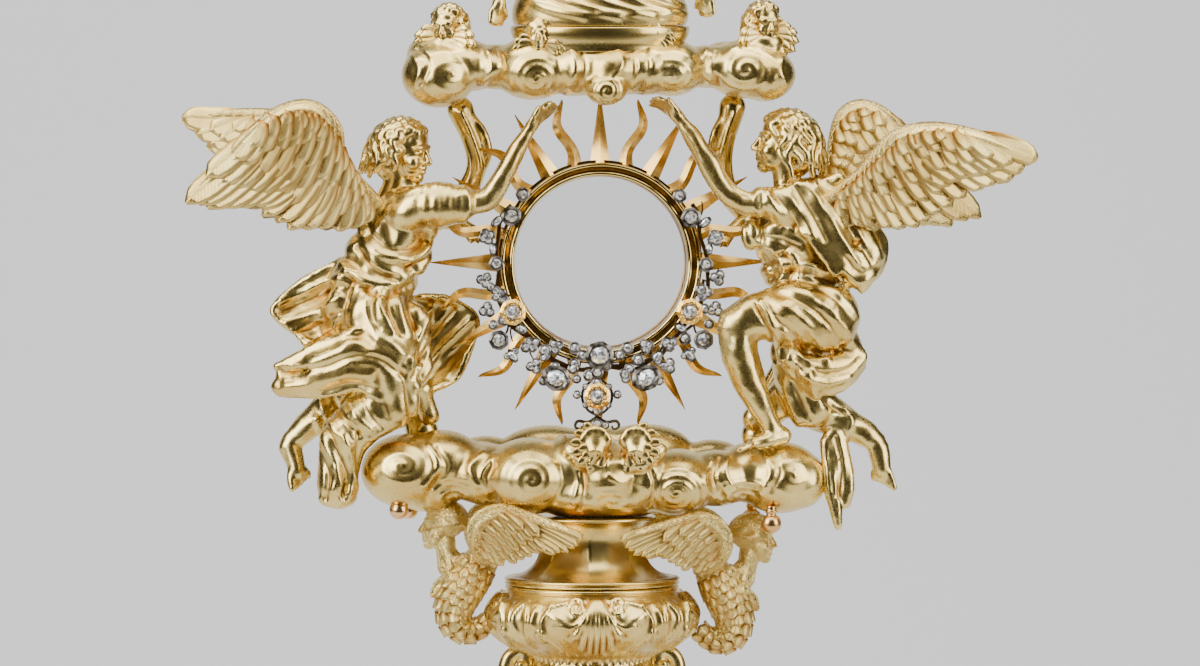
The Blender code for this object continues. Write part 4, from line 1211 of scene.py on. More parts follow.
# %% Glazed case


def spun_level(name, rows, steps, closed=True):
    """Spins a ring section, (radius, depth) rows, round the level axis through the case's middle."""
    bm = bmesh.new()
    verts = [bm.verts.new((r, y, 0)) for r, y in rows]
    pairs = list(zip(verts, verts[1:])) + ([(verts[-1], verts[0])] if closed else [])
    edges = [bm.edges.new(pair) for pair in pairs]
    bmesh.ops.spin(
        bm, geom=verts + edges, cent=(0, 0, 0), axis=(0, 1, 0), angle=TURN, steps=steps, use_merge=True,
    )
    bmesh.ops.remove_doubles(bm, verts=bm.verts[:], dist=0.002)
    bmesh.ops.translate(bm, vec=(0, 0, CASE_Z), verts=bm.verts[:])
    return baked(bm, name)


def bead_arc(radius, depth, size, start, end, count=7):
    """Points of a rounded moulding in the ring's section."""
    angles = np.radians(np.linspace(start, end, count))
    return [(radius + size * math.cos(a), depth + size * math.sin(a)) for a in angles]


def make_case():
    front = CASE_FRONT
    rim = CASE_RADIUS
    section = [(rim, front + 5.6), (rim, front + 1.2)]
    section += bead_arc(rim - 0.9, front + 0.9, 0.9, 0, -150)
    section += [(rim - 2.4, front + 1.5), (rim - 3.2, front + 2.0), (rim - 3.9, front + 1.9)]
    section += bead_arc(rim - 4.7, front + 0.95, 0.95, 140, -175, 12)
    section += [
        (SIGHT_RADIUS - 0.1, front + 1.8), (SIGHT_RADIUS - 0.1, -front - 1.9),
        (SIGHT_RADIUS - 1.0, -front - 1.5),
    ]
    section += [(SIGHT_RADIUS - 1.0, -front - 0.5), (SIGHT_RADIUS - 0.4, -front - 0.1), (rim - 3.9, -front)]
    section += [(rim - 3.5, -front - 0.4), (rim - 3.5, front + 6.2), (rim - 3.0, front + 5.8)]
    case = spun_level("case", section, 256)
    mark_hollows(case, 2.0, 6)
    return finish(case, GILT_CASE, "glazed_case", smooth=35, shift=CASE_X)


GILT_CASE = fire_gilding("fire_gilt_case", burnish=0.07, mottle=0.35)
make_case()

# %% [markdown]
# The panes are old blown glass, clear and well polished. Plain values make them see-through.

# %% Glass panes


def make_glass():
    glass, _, shader, _ = new_material("blown_glass_pane")
    shader.inputs["Base Color"].default_value = colour("E9EBEA")
    shader.inputs["Roughness"].default_value = 0.02
    shader.inputs["IOR"].default_value = 1.45
    shader.inputs["Transmission Weight"].default_value = 1.0
    shader.inputs["Alpha"].default_value = 0.4
    for name, node in (("pane_front", "glass_front"), ("pane_back", "glass_back")):
        low, high = node_box(node)
        section = [(0.0, low[1]), (CASE_RADIUS - 6.3, low[1]), (CASE_RADIUS - 6.1, low[1] + 0.2)]
        section += [(CASE_RADIUS - 6.1, high[1] - 0.2), (CASE_RADIUS - 6.3, high[1]), (0.0, high[1])]
        pane = spun_level(name, section, 96, closed=False)
        finish(pane, glass, node, smooth=35, shift=CASE_X)


make_glass()

# %% [markdown]
# ## The jewels
# A garland of small diamond flowers on wired stems is fixed to the case's front, and a drop hangs in the
# middle below. The settings are silver gone dark, closed behind. The stones are rose-cut: a flat back and a
# low dome of triangular facets. One rose cut and one cup are made once and repeated.

# %% Garland materials


def plain_metal(name, code, rough):
    material, _, shader, _ = new_material(name)
    shader.inputs["Base Color"].default_value = colour(code)
    shader.inputs["Metallic"].default_value = 1.0
    shader.inputs["Roughness"].default_value = rough
    return material


def make_jewel_materials():
    silver, tree, shader, place = new_material("silver_setting_darkened")
    tone = mottled(tree, place, 420.0, 3.0, ((0.38, "38322C"), (0.66, "8C857B")))
    tree.links.new(tone, shader.inputs["Base Color"])
    shader.inputs["Metallic"].default_value = 1.0
    shader.inputs["Roughness"].default_value = 0.30
    stone, tree, shader, place = new_material("rose_cut_diamond")
    # Painted glints: a fine random grey-to-white mottle in the stone's colour stands in for its facets'
    # sparkle.
    tone = mottled(tree, place, 700.0, 1.0, ((0.42, "77787C"), (0.60, "F4F4F2")))
    tree.links.new(tone, shader.inputs["Base Color"])
    shader.inputs["Roughness"].default_value = 0.04
    shader.inputs["IOR"].default_value = 2.2
    shader.inputs["Metallic"].default_value = 0.35
    claw = plain_metal("gold_claws_reddish", "E2B45C", 0.25)
    stem = plain_metal("stem_wire_browned", "7C5F3C", 0.3)
    return {"silver": silver, "stone": stone, "claw": claw, "stem": stem}


JEWEL = make_jewel_materials()
JEWEL_ORDER = ["silver", "stone", "claw", "stem"]

# %% Stones, cups, leaves


def rose_cut():
    """A rose-cut dome of radius one, facing -Y: a six-sided crown over twelve triangles."""
    points = [(0, -0.62, 0)]
    points += [(0.52 * math.cos(a), -0.46, 0.52 * math.sin(a)) for a in np.arange(6) * math.pi / 3]
    points += [(math.cos(a), 0, math.sin(a)) for a in np.arange(12) * math.pi / 6]
    points += [(0, 0.1, 0)]
    faces = []
    for k in range(6):
        a, b = 1 + k, 1 + (k + 1) % 6
        low, mid, high = 7 + 2 * k, 7 + (2 * k + 1) % 12, 7 + (2 * k + 2) % 12
        faces += [(0, a, b), (a, low, mid), (a, mid, b), (b, mid, high)]
    faces += [(19, 7 + (k + 1) % 12, 7 + k) for k in range(12)]
    return np.array(points, float), np.array(faces)


def cup(wall=0.22, count=14):
    """A closed-back cup round a stone of radius one, its rim nicked into grains."""
    section = [
        (0.86, -0.22), (1.0, -0.34), (1.0 + wall, -0.20), (1.0 + wall * 0.9, 0.35), (0.75, 0.75), (0.0, 0.8),
    ]
    points, faces = [], []
    for k in range(count):
        angle = TURN * k / count
        nick = 1.0 + 0.07 * (k % 2)
        points += [(r * nick * math.cos(angle), y, r * nick * math.sin(angle)) for r, y in section[:-1]]
    points += [(0, 0.8, 0), (0, 0.1, 0)]
    step_size = len(section) - 1
    for k in range(count):
        a, b = k * step_size, ((k + 1) % count) * step_size
        for j in range(step_size - 1):
            faces += [(a + j, a + j + 1, b + j + 1), (a + j, b + j + 1, b + j)]
        faces += [(a + step_size - 1, count * step_size, b + step_size - 1), (a, b, count * step_size + 1)]
    return np.array(points, float), np.array(faces)


STONE_SCALE = 1.22  # setting beyond the stone's own size
PETAL = (1.5, 0.6, 0.8)
ROSE_CUT, CUP = rose_cut(), cup(0.3)
SMALL_BALL = template(bmesh.ops.create_icosphere, subdivisions=1, radius=1.0)


class Jewel:
    """Collects stones, cups and stems, each with its own finish, into one object."""

    def __init__(self, depth):
        self.points, self.faces, self.finishes, self.count, self.depth = [], [], [], 0, depth

    def add(self, shape, x, z, size, kind, lift=0.0, turn=0.0, stretch=(1, 1, 1)):
        points, faces = shape
        c, s = math.cos(turn), math.sin(turn)
        p = points * np.array(stretch)
        spun = np.stack([p[:, 0] * c - p[:, 2] * s, p[:, 1], p[:, 0] * s + p[:, 2] * c], 1) * size
        self.points.append(spun + np.array([x, self.depth - lift, z]))
        self.faces.append(faces + self.count)
        self.finishes += [JEWEL_ORDER.index(kind)] * len(faces)
        self.count += len(points)

    def stone(self, x, z, size, kind="silver", lift=0.6, stretch=(1, 1, 1), turn=0.0):
        size *= STONE_SCALE
        self.add(CUP, x, z, size, kind, lift, turn, stretch)
        self.add(ROSE_CUT, x, z, size * 0.86, "stone", lift + 0.22 * size, turn + 0.3, stretch)

    def trefoil(self, x, z, size, turn=0.0, petals=3):
        for k in range(petals):
            a = turn + TURN * k / petals
            self.stone(x + size * math.cos(a), z + size * math.sin(a), size * 0.86, lift=0.5)
        self.add(SMALL_BALL, x, z, size * 0.34, "silver", 1.2)

    def leaf(self, x, z, size, turn, stones=1):
        """A long stone with two grains at its tip, and smaller stones round it."""
        self.stone(x, z, size, lift=0.5, stretch=(1.5, 0.8, 0.85), turn=turn)
        for k in (-1, 1):
            dx, dz = 1.5 * size * math.cos(turn + k * 0.25), 1.5 * size * math.sin(turn + k * 0.25)
            self.add(SMALL_BALL, x + dx, z + dz, size * 0.28, "silver", 0.5)
        for k in range(1, stones):
            a = turn + k * TURN / stones
            self.stone(x + 1.7 * size * math.cos(a), z + 1.7 * size * math.sin(a), size * 0.75, lift=0.5)

    def claw_stone(self, x, z, size, count=12):
        self.add(CUP, x, z, size, "claw", 0.6, 0, (1, 1.2, 1))
        for k in range(count):
            a = TURN * k / count
            px, pz = x + size * 1.02 * math.cos(a), z + size * 1.02 * math.sin(a)
            self.add(SMALL_BALL, px, pz, size * 0.2, "claw", 1.1, 0, (1, 2.2, 1))
        self.add(ROSE_CUT, x, z, size * 0.74, "stone", 1.5)
        for k in range(8):
            a = TURN * (k + 0.5) / 8
            self.add(
                SMALL_BALL, x + size * 0.8 * math.cos(a), z + size * 0.8 * math.sin(a), size * 0.09, "silver",
                1.6,
            )

    def wire(self, rows, kind="stem", sides=6):
        """A round wire through (x, z, radius) rows."""
        path = smooth_path(rows, 5)
        along = np.gradient(path[:, :2], axis=0)
        along /= np.linalg.norm(along, axis=1, keepdims=True) + 1e-9
        points, faces = [], []
        for (x, z, r), (tx, tz) in zip(path, along):
            for k in range(sides):
                a = TURN * k / sides
                points.append((
                    x - tz * r * math.cos(a), self.depth - r * math.sin(a), z + tx * r * math.cos(a),
                ))
        rings = len(path)
        for i in range(rings - 1):
            for k in range(sides):
                a, b = i * sides + k, i * sides + (k + 1) % sides
                faces += [(a, b, b + sides), (a, b + sides, a + sides)]
        for start in (0, (rings - 1) * sides):
            faces += [(start, start + k, start + k + 1) for k in range(1, sides - 1)]
        self.points.append(np.array(points))
        self.faces.append(np.array(faces) + self.count)
        self.finishes += [JEWEL_ORDER.index(kind)] * len(faces)
        self.count += len(points)

    def object(self, name):
        obj = mesh_object(name, self.points, self.faces)
        mesh = obj.data
        mesh.transform(Matrix.Translation((0, 0, CASE_Z)))
        for kind in JEWEL_ORDER:
            mesh.materials.append(JEWEL[kind])
        mesh.polygons.foreach_set("material_index", self.finishes)
        bm = bmesh.new()
        bm.from_mesh(mesh)
        bmesh.ops.recalc_face_normals(bm, faces=bm.faces[:])
        bm.to_mesh(mesh)
        bm.free()
        return obj


# %% Garland and drop


def make_garland():
    """The stem and its tendrils, then the stones, mirrored but for a small slip, then the middle flower."""
    jewel = Jewel(CASE_FRONT - 1.6)
    stem = []
    for angle in np.radians(np.arange(147, 395, 6)):
        reach = 46.6 + 1.3 * math.sin(7.5 * angle) + 0.5 * math.sin(17 * angle)
        stem.append((reach * math.cos(angle), reach * math.sin(angle), 0.95))
    jewel.wire(stem)
    for angle in np.radians((160, 176, 196, 214, 228, 246, 262, 282, 298, 316, 332, 350, 368, 384)):
        way = 1 if math.cos(3 * angle) > 0 else -1
        root, top = 46.4, 46.4 + way * 5.5
        tendril = [(root * math.cos(angle), root * math.sin(angle), 0.42)]
        tendril.append((
            (root + way * 3.4) * math.cos(angle + 0.05), (root + way * 3.4) * math.sin(angle + 0.05), 0.38,
        ))
        tendril.append((top * math.cos(angle + 0.13), top * math.sin(angle + 0.13), 0.3))
        jewel.wire(tendril)
    twist = []
    for angle in np.radians(np.arange(186, 356, 5)):
        reach = 47.2 + 1.6 * math.sin(9 * angle)
        twist.append((reach * math.cos(angle), reach * math.sin(angle), 0.7))
    jewel.wire(twist)
    for k, angle in enumerate(np.radians(np.arange(192, 350, 9))):
        reach = 45.6 if k % 2 else 49.6
        jewel.stone(reach * math.cos(angle), reach * math.sin(angle), 1.25 + 0.25 * (k % 3))
    for side in (-1, 1):
        slip = 0.8 if side < 0 else 0.0
        jewel.stone(side * 34.5, 29.5 + slip, 1.9)
        jewel.stone(side * 39.5, 20 + slip, 2.7)
        jewel.leaf(side * 45.5, 17.8 + slip, 1.4, 0.6)
        jewel.trefoil(side * 50.2, 11 + slip, 1.6, 0.4, 4)
        jewel.stone(side * 46, -0.8 + slip, 2.0)
        jewel.leaf(side * 47.5, 6.2, 1.2, 1.5)
        jewel.trefoil(side * 51.2, -6.5 - slip, 1.6, 0.9)
        jewel.trefoil(side * 45.4, -13.2, 1.55, 0.1)
        jewel.trefoil(side * 50.2, -20.4, 1.6, 1.4)
        jewel.claw_stone(side * 38.9, -21.4, 4.3)
        jewel.stone(side * 47.4, -26.9, 1.4)
        jewel.leaf(side * 35.0, -28.6, 1.3, -0.8)
        jewel.stone(side * 45, -33.7, 2.7)
        jewel.wire([(side * 40.5, -25.4, 0.5), (side * 41.4, -30, 0.45), (side * 44.0, -33.2, 0.4)])
        jewel.trefoil(side * 30.2, -35.4, 1.6, 0.5)
        jewel.leaf(side * 38.9, -40.6, 1.4, -1.0, 3)
        jewel.trefoil(side * 29.5, -45.2, 1.6, 1.1)
        jewel.trefoil(side * 19.8, -36.5, 1.5, 0.3)
        jewel.leaf(side * 24.6, -40.8, 1.3, 0.4)
        jewel.stone(side * 11.6, -37.2, 1.7)
        jewel.stone(side * 8.2, -40.4, 1.5)
        jewel.stone(side * 19.8, -50.4, 3.6, stretch=(1.15, 1, 0.95), turn=side * 0.5)
        for a in (0.3, 1.1, 1.9, 2.7, 3.6, 5.8):
            px, pz = side * 19.8 + 4.6 * math.cos(a), -50.4 + 4.4 * math.sin(a)
            jewel.add(SMALL_BALL, px, pz, 1.0, "silver", 0.3, a, PETAL)
        jewel.stone(side * 12.4, -46.4, 1.5)
        jewel.stone(side * 25.4, -51.6, 1.4)
        jewel.stone(side * 10.8, -50.8, 1.3)
    jewel.stone(-0.7, -40.6, 3.9)
    for a in (0.2, 0.9, 1.6, 2.3, 3.0, 4.1, 5.4):
        jewel.add(
            SMALL_BALL, -0.7 + 5.0 * math.cos(a), -40.6 + 5.0 * math.sin(a), 1.05, "silver", 0.3, a, PETAL,
        )
    garland = jewel.object("garland")
    return finish(garland, None, "jewel_garland", smooth=20, shift=CASE_X)


def make_pendant():
    """The drop: a claw-set stone in a wire frame, with stones at its sides and a curl below."""
    jewel = Jewel(CASE_FRONT - 2.0)
    x = -1.8
    jewel.stone(x, -48.0, 1.7)
    frame_rows = [(0, -50.4, 0.5), (3.6, -52.6, 0.55), (6.2, -56, 0.6), (6.4, -60.2, 0.6), (4.2, -64.4, 0.55)]
    frame_rows.append((0, -67.2, 0.5))
    for side in (-1, 1):
        jewel.wire([(x + side * out, z, r) for out, z, r in frame_rows], "silver")
    jewel.claw_stone(x, -58.4, 4.3)
    jewel.stone(x, -52.4, 1.3)
    jewel.stone(x, -64.8, 1.5)
    for side in (-1, 1):
        jewel.stone(x + side * 8.9, -57.7, 1.2)
        jewel.wire([(x + side * 6.3, -57.9, 0.4), (x + side * 8.6, -57.7, 0.4)], "silver")
        curl = [
            (x, -67.4, 0.6), (x + side * 4, -69.8, 0.7), (x + side * 8.4, -69.4, 0.7),
            (x + side * 9.6, -71.8, 0.6),
        ]
        jewel.wire(curl + [(x + side * 7.4, -73, 0.5), (x + side * 6.4, -71.4, 0.4)], "silver")
        jewel.stone(x + side * 3.6, -71.2, 1.1)
        jewel.stone(x + side * 5.2, -54.2, 0.9)
        jewel.stone(x + side * 5.0, -62.4, 0.9)
    jewel.stone(x, -70.6, 1.5)
    pendant = jewel.object("pendant")
    return finish(pendant, None, "jewel_pendant", smooth=20, shift=CASE_X)


make_garland()
make_pendant()

# %% [markdown]
# ## Heads
# A head is built upright in its own frame, twenty-four units tall, face towards -Y, and turned into place:
# skull, jaw, brow, cheeks, nose, lips and eyes in the proportions of a drawing book, and the hair as curled
# locks that start on the scalp and run down and back. It is skinned finer than a body.

# %% Heads and hair


HEAD_UNITS = 24.0
GOLDEN_ANGLE = math.pi * (3 - math.sqrt(5))


def add_face(clay):
    """The bald head: skull, face and neck."""
    clay.ball((0, 1.6, 3.4), (8.0, 9.6, 8.8))
    clay.ball((0, -2.6, -1.6), (6.5, 6.4, 9.0))
    clay.ball((0, -4.2, 5.4), (6.2, 4.4, 4.8))
    clay.ball((0, -6.0, -8.8), (3.1, 2.9, 2.7))
    clay.ball((0, -3.4, -6.0), (5.3, 5.2, 4.6))
    for side in (-1, 1):
        clay.ball((side * 3.6, -5.4, -2.8), (3.0, 3.0, 3.4))
        clay.limb([(side * 1.2, -8.5, 2.7, 0.8), (side * 3.4, -8.4, 3.3, 0.9), (side * 5.6, -6.8, 2.5, 0.8)])
        clay.ball((side * 3.1, -7.2, 0.9), (1.75, 1.5, 1.2))
        clay.limb([
            (side * 1.8, -8.2, 0.9, 0.35), (side * 3.2, -8.75, 1.6, 0.4), (side * 4.8, -7.9, 0.9, 0.35),
        ])
        clay.ball((side * 1.25, -9.6, -3.0), (0.95, 1.1, 0.85))
    clay.limb([(0, -8.4, 2.8, 0.95), (0, -9.6, 0.2, 1.0), (0, -10.9, -2.5, 1.3)])
    clay.limb([
        (-2.3, -8.0, -5.2, 0.5), (-0.8, -9.0, -4.9, 0.75), (0.8, -9.0, -4.9, 0.75), (2.3, -8.0, -5.2, 0.5),
    ])
    clay.limb([(-1.8, -8.1, -6.5, 0.5), (0, -8.8, -6.5, 0.9), (1.8, -8.1, -6.5, 0.5)])
    clay.limb([(0, 1.5, -6, 5.4), (0, 3.0, -13, 5.0), (0, 4.5, -19, 5.6)])


def add_curls(clay, seed, length=9.0, weight=1.15, lowest=-9.0, count=90):
    """Curled locks over a cap of hair. Each starts on the scalp, falls along it and turns up at the end."""
    random = np.random.default_rng(seed)
    clay.ball((0, 3.4, 4.4), (9.2, 10.0, 9.0))
    if lowest < -9:  # long hair covers the nape too
        clay.ball((0, 5.6, -4.0), (8.2, 6.6, 8.0))
    for i in range(count):
        height = 1 - (i + 0.5) / count * 1.45
        around = i * GOLDEN_ANGLE
        ring = math.sqrt(max(0.02, 1 - height * height))
        x, y = ring * math.sin(around), ring * math.cos(around)
        front = -y
        if (front > 0.32 and height < 0.42) or (front > 0.62 and height < 0.62):  # the brow stays clear
            continue
        start = np.array([8.1 * x, 1.6 + 9.6 * y, 3.4 + 9.0 * height])
        down = np.array([0.25 * x, 0.35 + 0.25 * y, -1.0])
        side = np.array([y, -x, 0.0]) * (1 if random.random() > 0.5 else -1)
        out = np.array([x, y, height * 0.6])
        long = length * random.uniform(0.75, 1.2) * (0.7 + 0.5 * (1 - height) / 2)
        rows = []
        for t in np.linspace(0, 1, 5):
            place = start + down * long * t * (0.4 + 0.6 * t) + side * 1.7 * math.sin(t * 5.4)
            place = place + out * (0.6 + 1.5 * math.sin(math.pi * t))
            if place[2] < lowest:
                place[2] = lowest
            rows.append((*place, weight * (1.15 - 0.6 * t)))
        clay.limb(rows, 3)


def head_frame(place, height, yaw, pitch=0.0):
    """Sets the upright head at a place. Yaw turns the face from -Y towards +X, and pitch lifts the chin."""
    turn = Matrix.Rotation(math.radians(yaw), 4, "Z") @ Matrix.Rotation(math.radians(-pitch), 4, "X")
    return Matrix.Translation(Vector(place)) @ turn @ Matrix.Scale(height / HEAD_UNITS, 4)


def make_head(name, place, height, yaw, pitch, voxel, extra=None, **hair):
    clay = Clay()
    clay.frame = head_frame(place, height, yaw, pitch)
    add_face(clay)
    if hair:
        add_curls(clay, **hair)
    if extra:
        extra(clay)
    head = clay.skin(name, voxel, 3)
    return thin(mark_hollows(head, 1.0, 8), 0.5)


# %% [markdown]
# ## Winged herms
# A herm on each side of the neck: a bust in profile that grows from a scroll, feathered all the way down,
# with two wings arched back round the neck.

# %% Herms


def coat(flock, rows, width, length, spacing, start, end):
    """Scale feathers laid like tiles along a limb, from one share of its length down to another."""
    path = smooth_path(rows, 12)
    reach = np.concatenate([[0], np.cumsum(np.linalg.norm(np.diff(path[:, :3], axis=0), axis=1))])
    marks = np.arange(reach[-1] * end, reach[-1] * start, -spacing)
    for j, mark in enumerate(marks):
        here = np.array([np.interp(mark, reach, path[:, k]) for k in range(4)])
        ahead = np.array([np.interp(min(mark + length, reach[-1]), reach, path[:, k]) for k in range(4)])
        along = ahead[:3] - here[:3]
        norm = np.linalg.norm(along)
        if norm < 1e-3:
            continue
        along /= norm
        flat = np.cross((0, 1, 0), along)
        flat /= np.linalg.norm(flat) + 1e-9
        girth = TURN * here[3]
        count = max(5, int(girth / width))
        for k in range(count):
            angle = TURN * (k + 0.5 * (j % 2)) / count
            out = flat * math.cos(angle) + np.array((0, 1, 0)) * math.sin(angle)
            base = here[:3] + out * (here[3] - 0.3)
            tip = here[:3] + along * length + out * (here[3] * 0.5 + ahead[3] * 0.5 + 0.35)
            flock.add(base, tip, width * 1.25, out, "scale", **COAT_SCALE)


HERM_WING = {
    "arm": [
        (50, 10, 313, 3.0), (54.5, 14, 320, 3.6), (54.5, 16, 327.5, 4.0), (50, 18, 332.5, 4.2),
        (42, 21, 335, 3.6),
    ]
    + [(32, 25, 333, 2.8), (20, 28.5, 329.6, 2.2), (9, 30, 326.6, 1.4)],
    "under": [
        (45, 12, 309), (44, 15, 312), (42, 17, 315), (38.5, 19, 316), (34, 22, 317), (26, 26, 318),
        (17, 28.5, 320), (9.5, 30, 323),
    ],
}


def herm_hair(clay):
    """Waves combed back from the brow to a knot at the nape."""
    clay.ball((0, 2.6, 4.8), (8.7, 10.0, 8.9))
    for side in (-1, 1):
        for i in range(9):
            lift = i / 8
            z0, z1 = 1.5 + 9.5 * lift, 2.0 + 3.5 * lift
            x = side * (7.2 - 6.0 * lift**1.4)
            wave = 0.5 if i % 2 else -0.3
            rows = [(x * 0.9, -6.2 + 0.6 * lift, z0, 1.3), (x * 1.12, -2.0, z0 + 1.2 + wave, 1.6)]
            rows += [
                (x * 1.12, 3.0, z0 + 0.4 - wave, 1.6), (x * 0.85, 8.0, z1 + 1.0 + wave, 1.5),
                (x * 0.4, 12.0, z1, 1.3),
            ]
            clay.limb(rows, 3)
    clay.ball((0, 12.0, 3.0), (4.4, 4.0, 4.2))
    for i in range(6):
        coil = []
        for reach, lead, y, radius in ((2.0, 0.0, 13.0, 1.2), (3.6, 0.6, 14.5, 1.4), (1.6, 1.3, 16.2, 1.1)):
            angle = i * math.pi / 3 + lead
            coil.append((reach * math.cos(angle), y, 3 + reach * math.sin(angle), radius))
        clay.limb(coil, 3)


def make_herm(word, side):
    """Trunk, scroll and wings in clay, feathers over both, and a head in profile."""
    name = f"herm_{word}"
    clay = Clay()
    body = [
        (48, 0, 316, 6.4), (52.5, 0, 308.5, 8.4), (57, 0, 301, 9.0), (61.5, 0, 293, 8.4), (62.5, 0, 286, 7.2),
    ]
    body += [(59, 0, 280.6, 5.8), (53.5, 0, 279.6, 4.8), (49, 0, 282.6, 3.8)]
    body = [(side * x, y, z, r) for x, y, z, r in body]
    clay.limb(body)
    clay.limb([(side * 66, 0, 314, 4.4), (side * 62, 0, 309.5, 4.6), (side * 57.5, 0, 305, 6.0)])
    clay.limb([
        (side * 58.5, 0, 312.5, 1.6), (side * 61, 0, 309, 2.4), (side * 65, 0, 303.5, 2.6),
        (side * 69.5, 0, 299.4, 2.4), (side * 71.5, 0, 295.2, 1.6),
    ])
    for depth in (-1, 1):
        clay.ball((side * 64.4, depth * 3.4, 303.4), (3.6, 3.4, 3.6))
        clay.ball((side * 58.4, depth * 5.2, 311), (3.6, 3.0, 3.4))
        wing = [(side * x, depth * y, z, r) for x, y, z, r in HERM_WING["arm"]]
        clay.limb(wing)
        clay.sheet(
            [row[:3] for row in wing], [(side * x, depth * y, z) for x, y, z in HERM_WING["under"]], 2.2,
        )
    core = thin(mark_hollows(clay.skin(name, 0.6, 4), 1.4, 8), 0.36)
    core.data.uv_layers.new(name="barbs")
    flock = Flock()
    coat(flock, body, 4.6, 5.6, 3.9, 0.10, 0.97)
    random = np.random.default_rng(11)
    rows = [(
        "long", [(30, 26, 332), (36, 23, 331), (40, 20, 328)],
        [(8.6, 30.5, 325), (12, 30, 320.4), (20, 28.5, 317.5)], 6, 4.4, 0.2,
    )]
    rows += [("short", [(38, 21, 330), (44, 17, 322)], [(24, 27, 319), (36, 20, 312.5)], 5, 5.2, 0.4)]
    rows += [(
        "scale", [(36, 24, 334), (44, 20, 330), (47, 15, 318)],
        [(27, 27, 325), (34, 22.5, 319), (42, 15, 311)], 7, 5.0, 1.0,
    )]
    rows += [(
        "scale", [(42, 22, 335), (49, 18, 330), (50, 14, 318)],
        [(34, 25, 328), (39, 20.5, 322), (45, 13, 311)], 7, 4.8, 1.5,
    )]
    rows += [(
        "scale", [(46, 20, 334.6), (52, 16, 329), (52, 13, 318)],
        [(40, 22.5, 330), (45, 18.5, 324), (48, 13, 313)], 6, 4.4, 1.9,
    )]
    for depth in (-1, 1):
        for kind, bases, tips, count, width, layer in rows:
            for (ax, ay, az), (bx, by, bz) in zip(evenly(bases, count), evenly(tips, count)):
                bx, bz = bx + random.uniform(-0.5, 0.5), bz + random.uniform(-0.5, 0.5)
                start = (side * (ax + 0.3 * layer), depth * (ay + 1.3 + layer * 0.7), az)
                end = (side * bx, depth * (by + 1.2 + layer * 0.5), bz)
                out = (side * 0.45, depth, 0.1)
                flock.add(start, end, width, out, kind, 0.04 * side * depth, **HERM_BLADE)
    head = make_head(name + "_head", (side * 68.6, 0, 325.2), 21.5, side * 90, 2, 0.42, herm_hair)
    head.data.uv_layers.new(name="barbs")
    herm = join(name + "_cast", [flock.object(name + "_scales"), core, head])
    pivot = Matrix.Translation((0, 0, 325))
    herm.data.transform(
        Matrix.Translation((2.6, 0, 0)) @ pivot @ Matrix.Rotation(
            math.radians(2.6), 4, "Y",
        ) @ pivot.inverted()
    )
    return finish(herm, GILT_FEATHER, name)


make_herm("left", -1)
make_herm("right", 1)

# %% [markdown]
# ## The two angels
# Each angel is one casting: trunk, bare arm and legs, and the cloth that flies round them. The masses come
# first, then sheets of cloth with rolled rims, then one skin over all. Last come the folds, each a line
# drawn on the front with a height and a width; the back gets the same folds.

# %% Hands and feet


def add_hand(clay, wrist, knuckles, tips, spread, radius=1.15):
    """A palm and five fingers. Spread is the step from one finger to the next."""
    wrist, knuckles, tips, spread = (np.array(v, float) for v in (wrist, knuckles, tips, spread))
    clay.limb([(*wrist, 2.7), (*((wrist + knuckles) / 2), 3.1), (*knuckles, 2.5)])
    for i in range(4):
        aside = spread * (i - 1.5)
        middle = knuckles + ((tips - knuckles) * 0.55 + np.array([0, 0, 0.5])) + aside
        tip = tips + aside * 1.1 - (tips - knuckles) * 0.1 * abs(i - 1.5)
        root = knuckles + aside * 0.9
        clay.limb([(*root, radius * 1.15), (*middle, radius), (*tip, radius * 0.85)], 3)
    thumb = knuckles + (tips - knuckles) * 0.35 - spread * 2.6
    clay.limb([(*(wrist + (knuckles - wrist) * 0.4 - spread), radius * 1.3), (*thumb, radius)], 3)


def add_foot(clay, heel, ball, toes, spread, thick=3.6):
    """A bare foot: heel, instep, and five toes of falling length."""
    heel, ball, toes, spread = (np.array(v, float) for v in (heel, ball, toes, spread))
    clay.ball(heel, thick * 1.02)
    clay.limb([(*heel, thick), (*((heel + ball) / 2), thick * 0.92), (*ball, thick * 0.78)])
    for i in range(5):
        aside = spread * (i - 2)
        reach = toes - (toes - ball) * 0.13 * i
        root, middle, tip = ball + aside * 0.75, (ball + reach) / 2 + aside, reach + aside * 1.1
        clay.limb([(*root, thick * 0.36), (*middle, thick * 0.33), (*tip, thick * (0.32 - 0.02 * i))], 3)


# %% Left angel

LEFT_BODY = [
    [(-101, 0, 421, 15), (-99, -1, 436, 14), (-94, -2, 448, 13.5), (-90, -2, 459, 13.5), (-87, -2, 467, 12)],
    [(-84, -1, 470, 6.6), (-84.5, -2, 480, 5.8), (-85, -2, 485, 5.6)],
    [(-88, -9, 467, 9), (-80, -13, 470.5, 9.2), (-70, -14.5, 471.4, 9.8), (-62, -15, 471.2, 8.2)],
    [
        (-64, -15, 470.5, 5.0), (-55, -15.5, 471.6, 5.0), (-48.5, -15.5, 475, 5.0), (-42.5, -15, 485, 4.5),
        (-36.5, -14.5, 496, 3.6), (-32, -14, 503, 2.9),
    ],
    [(-86, 9, 467, 8.5), (-76, 13, 466, 6.4), (-67, 13, 463.5, 4.6), (-60, 10, 461, 3.2)],
    [(-98, -8, 422, 14.5), (-94, -12, 405, 13.5), (-90.5, -12, 389, 10.6), (-90.5, -12, 383.5, 10)],
    [
        (-92, -12, 383, 9.8), (-104, -12, 377.5, 11), (-113, -11.5, 367, 10.4), (-115, -11.5, 356, 9.3),
        (-115.6, -12, 347, 9.2),
    ],
    [
        (-103, 8, 420, 12.5), (-108, 10, 404, 10), (-113, 11, 389, 9.0), (-121, 11, 378.5, 7.6),
        (-129, 11, 372, 6.2), (-135, 10.5, 366.5, 4.9),
    ],
]
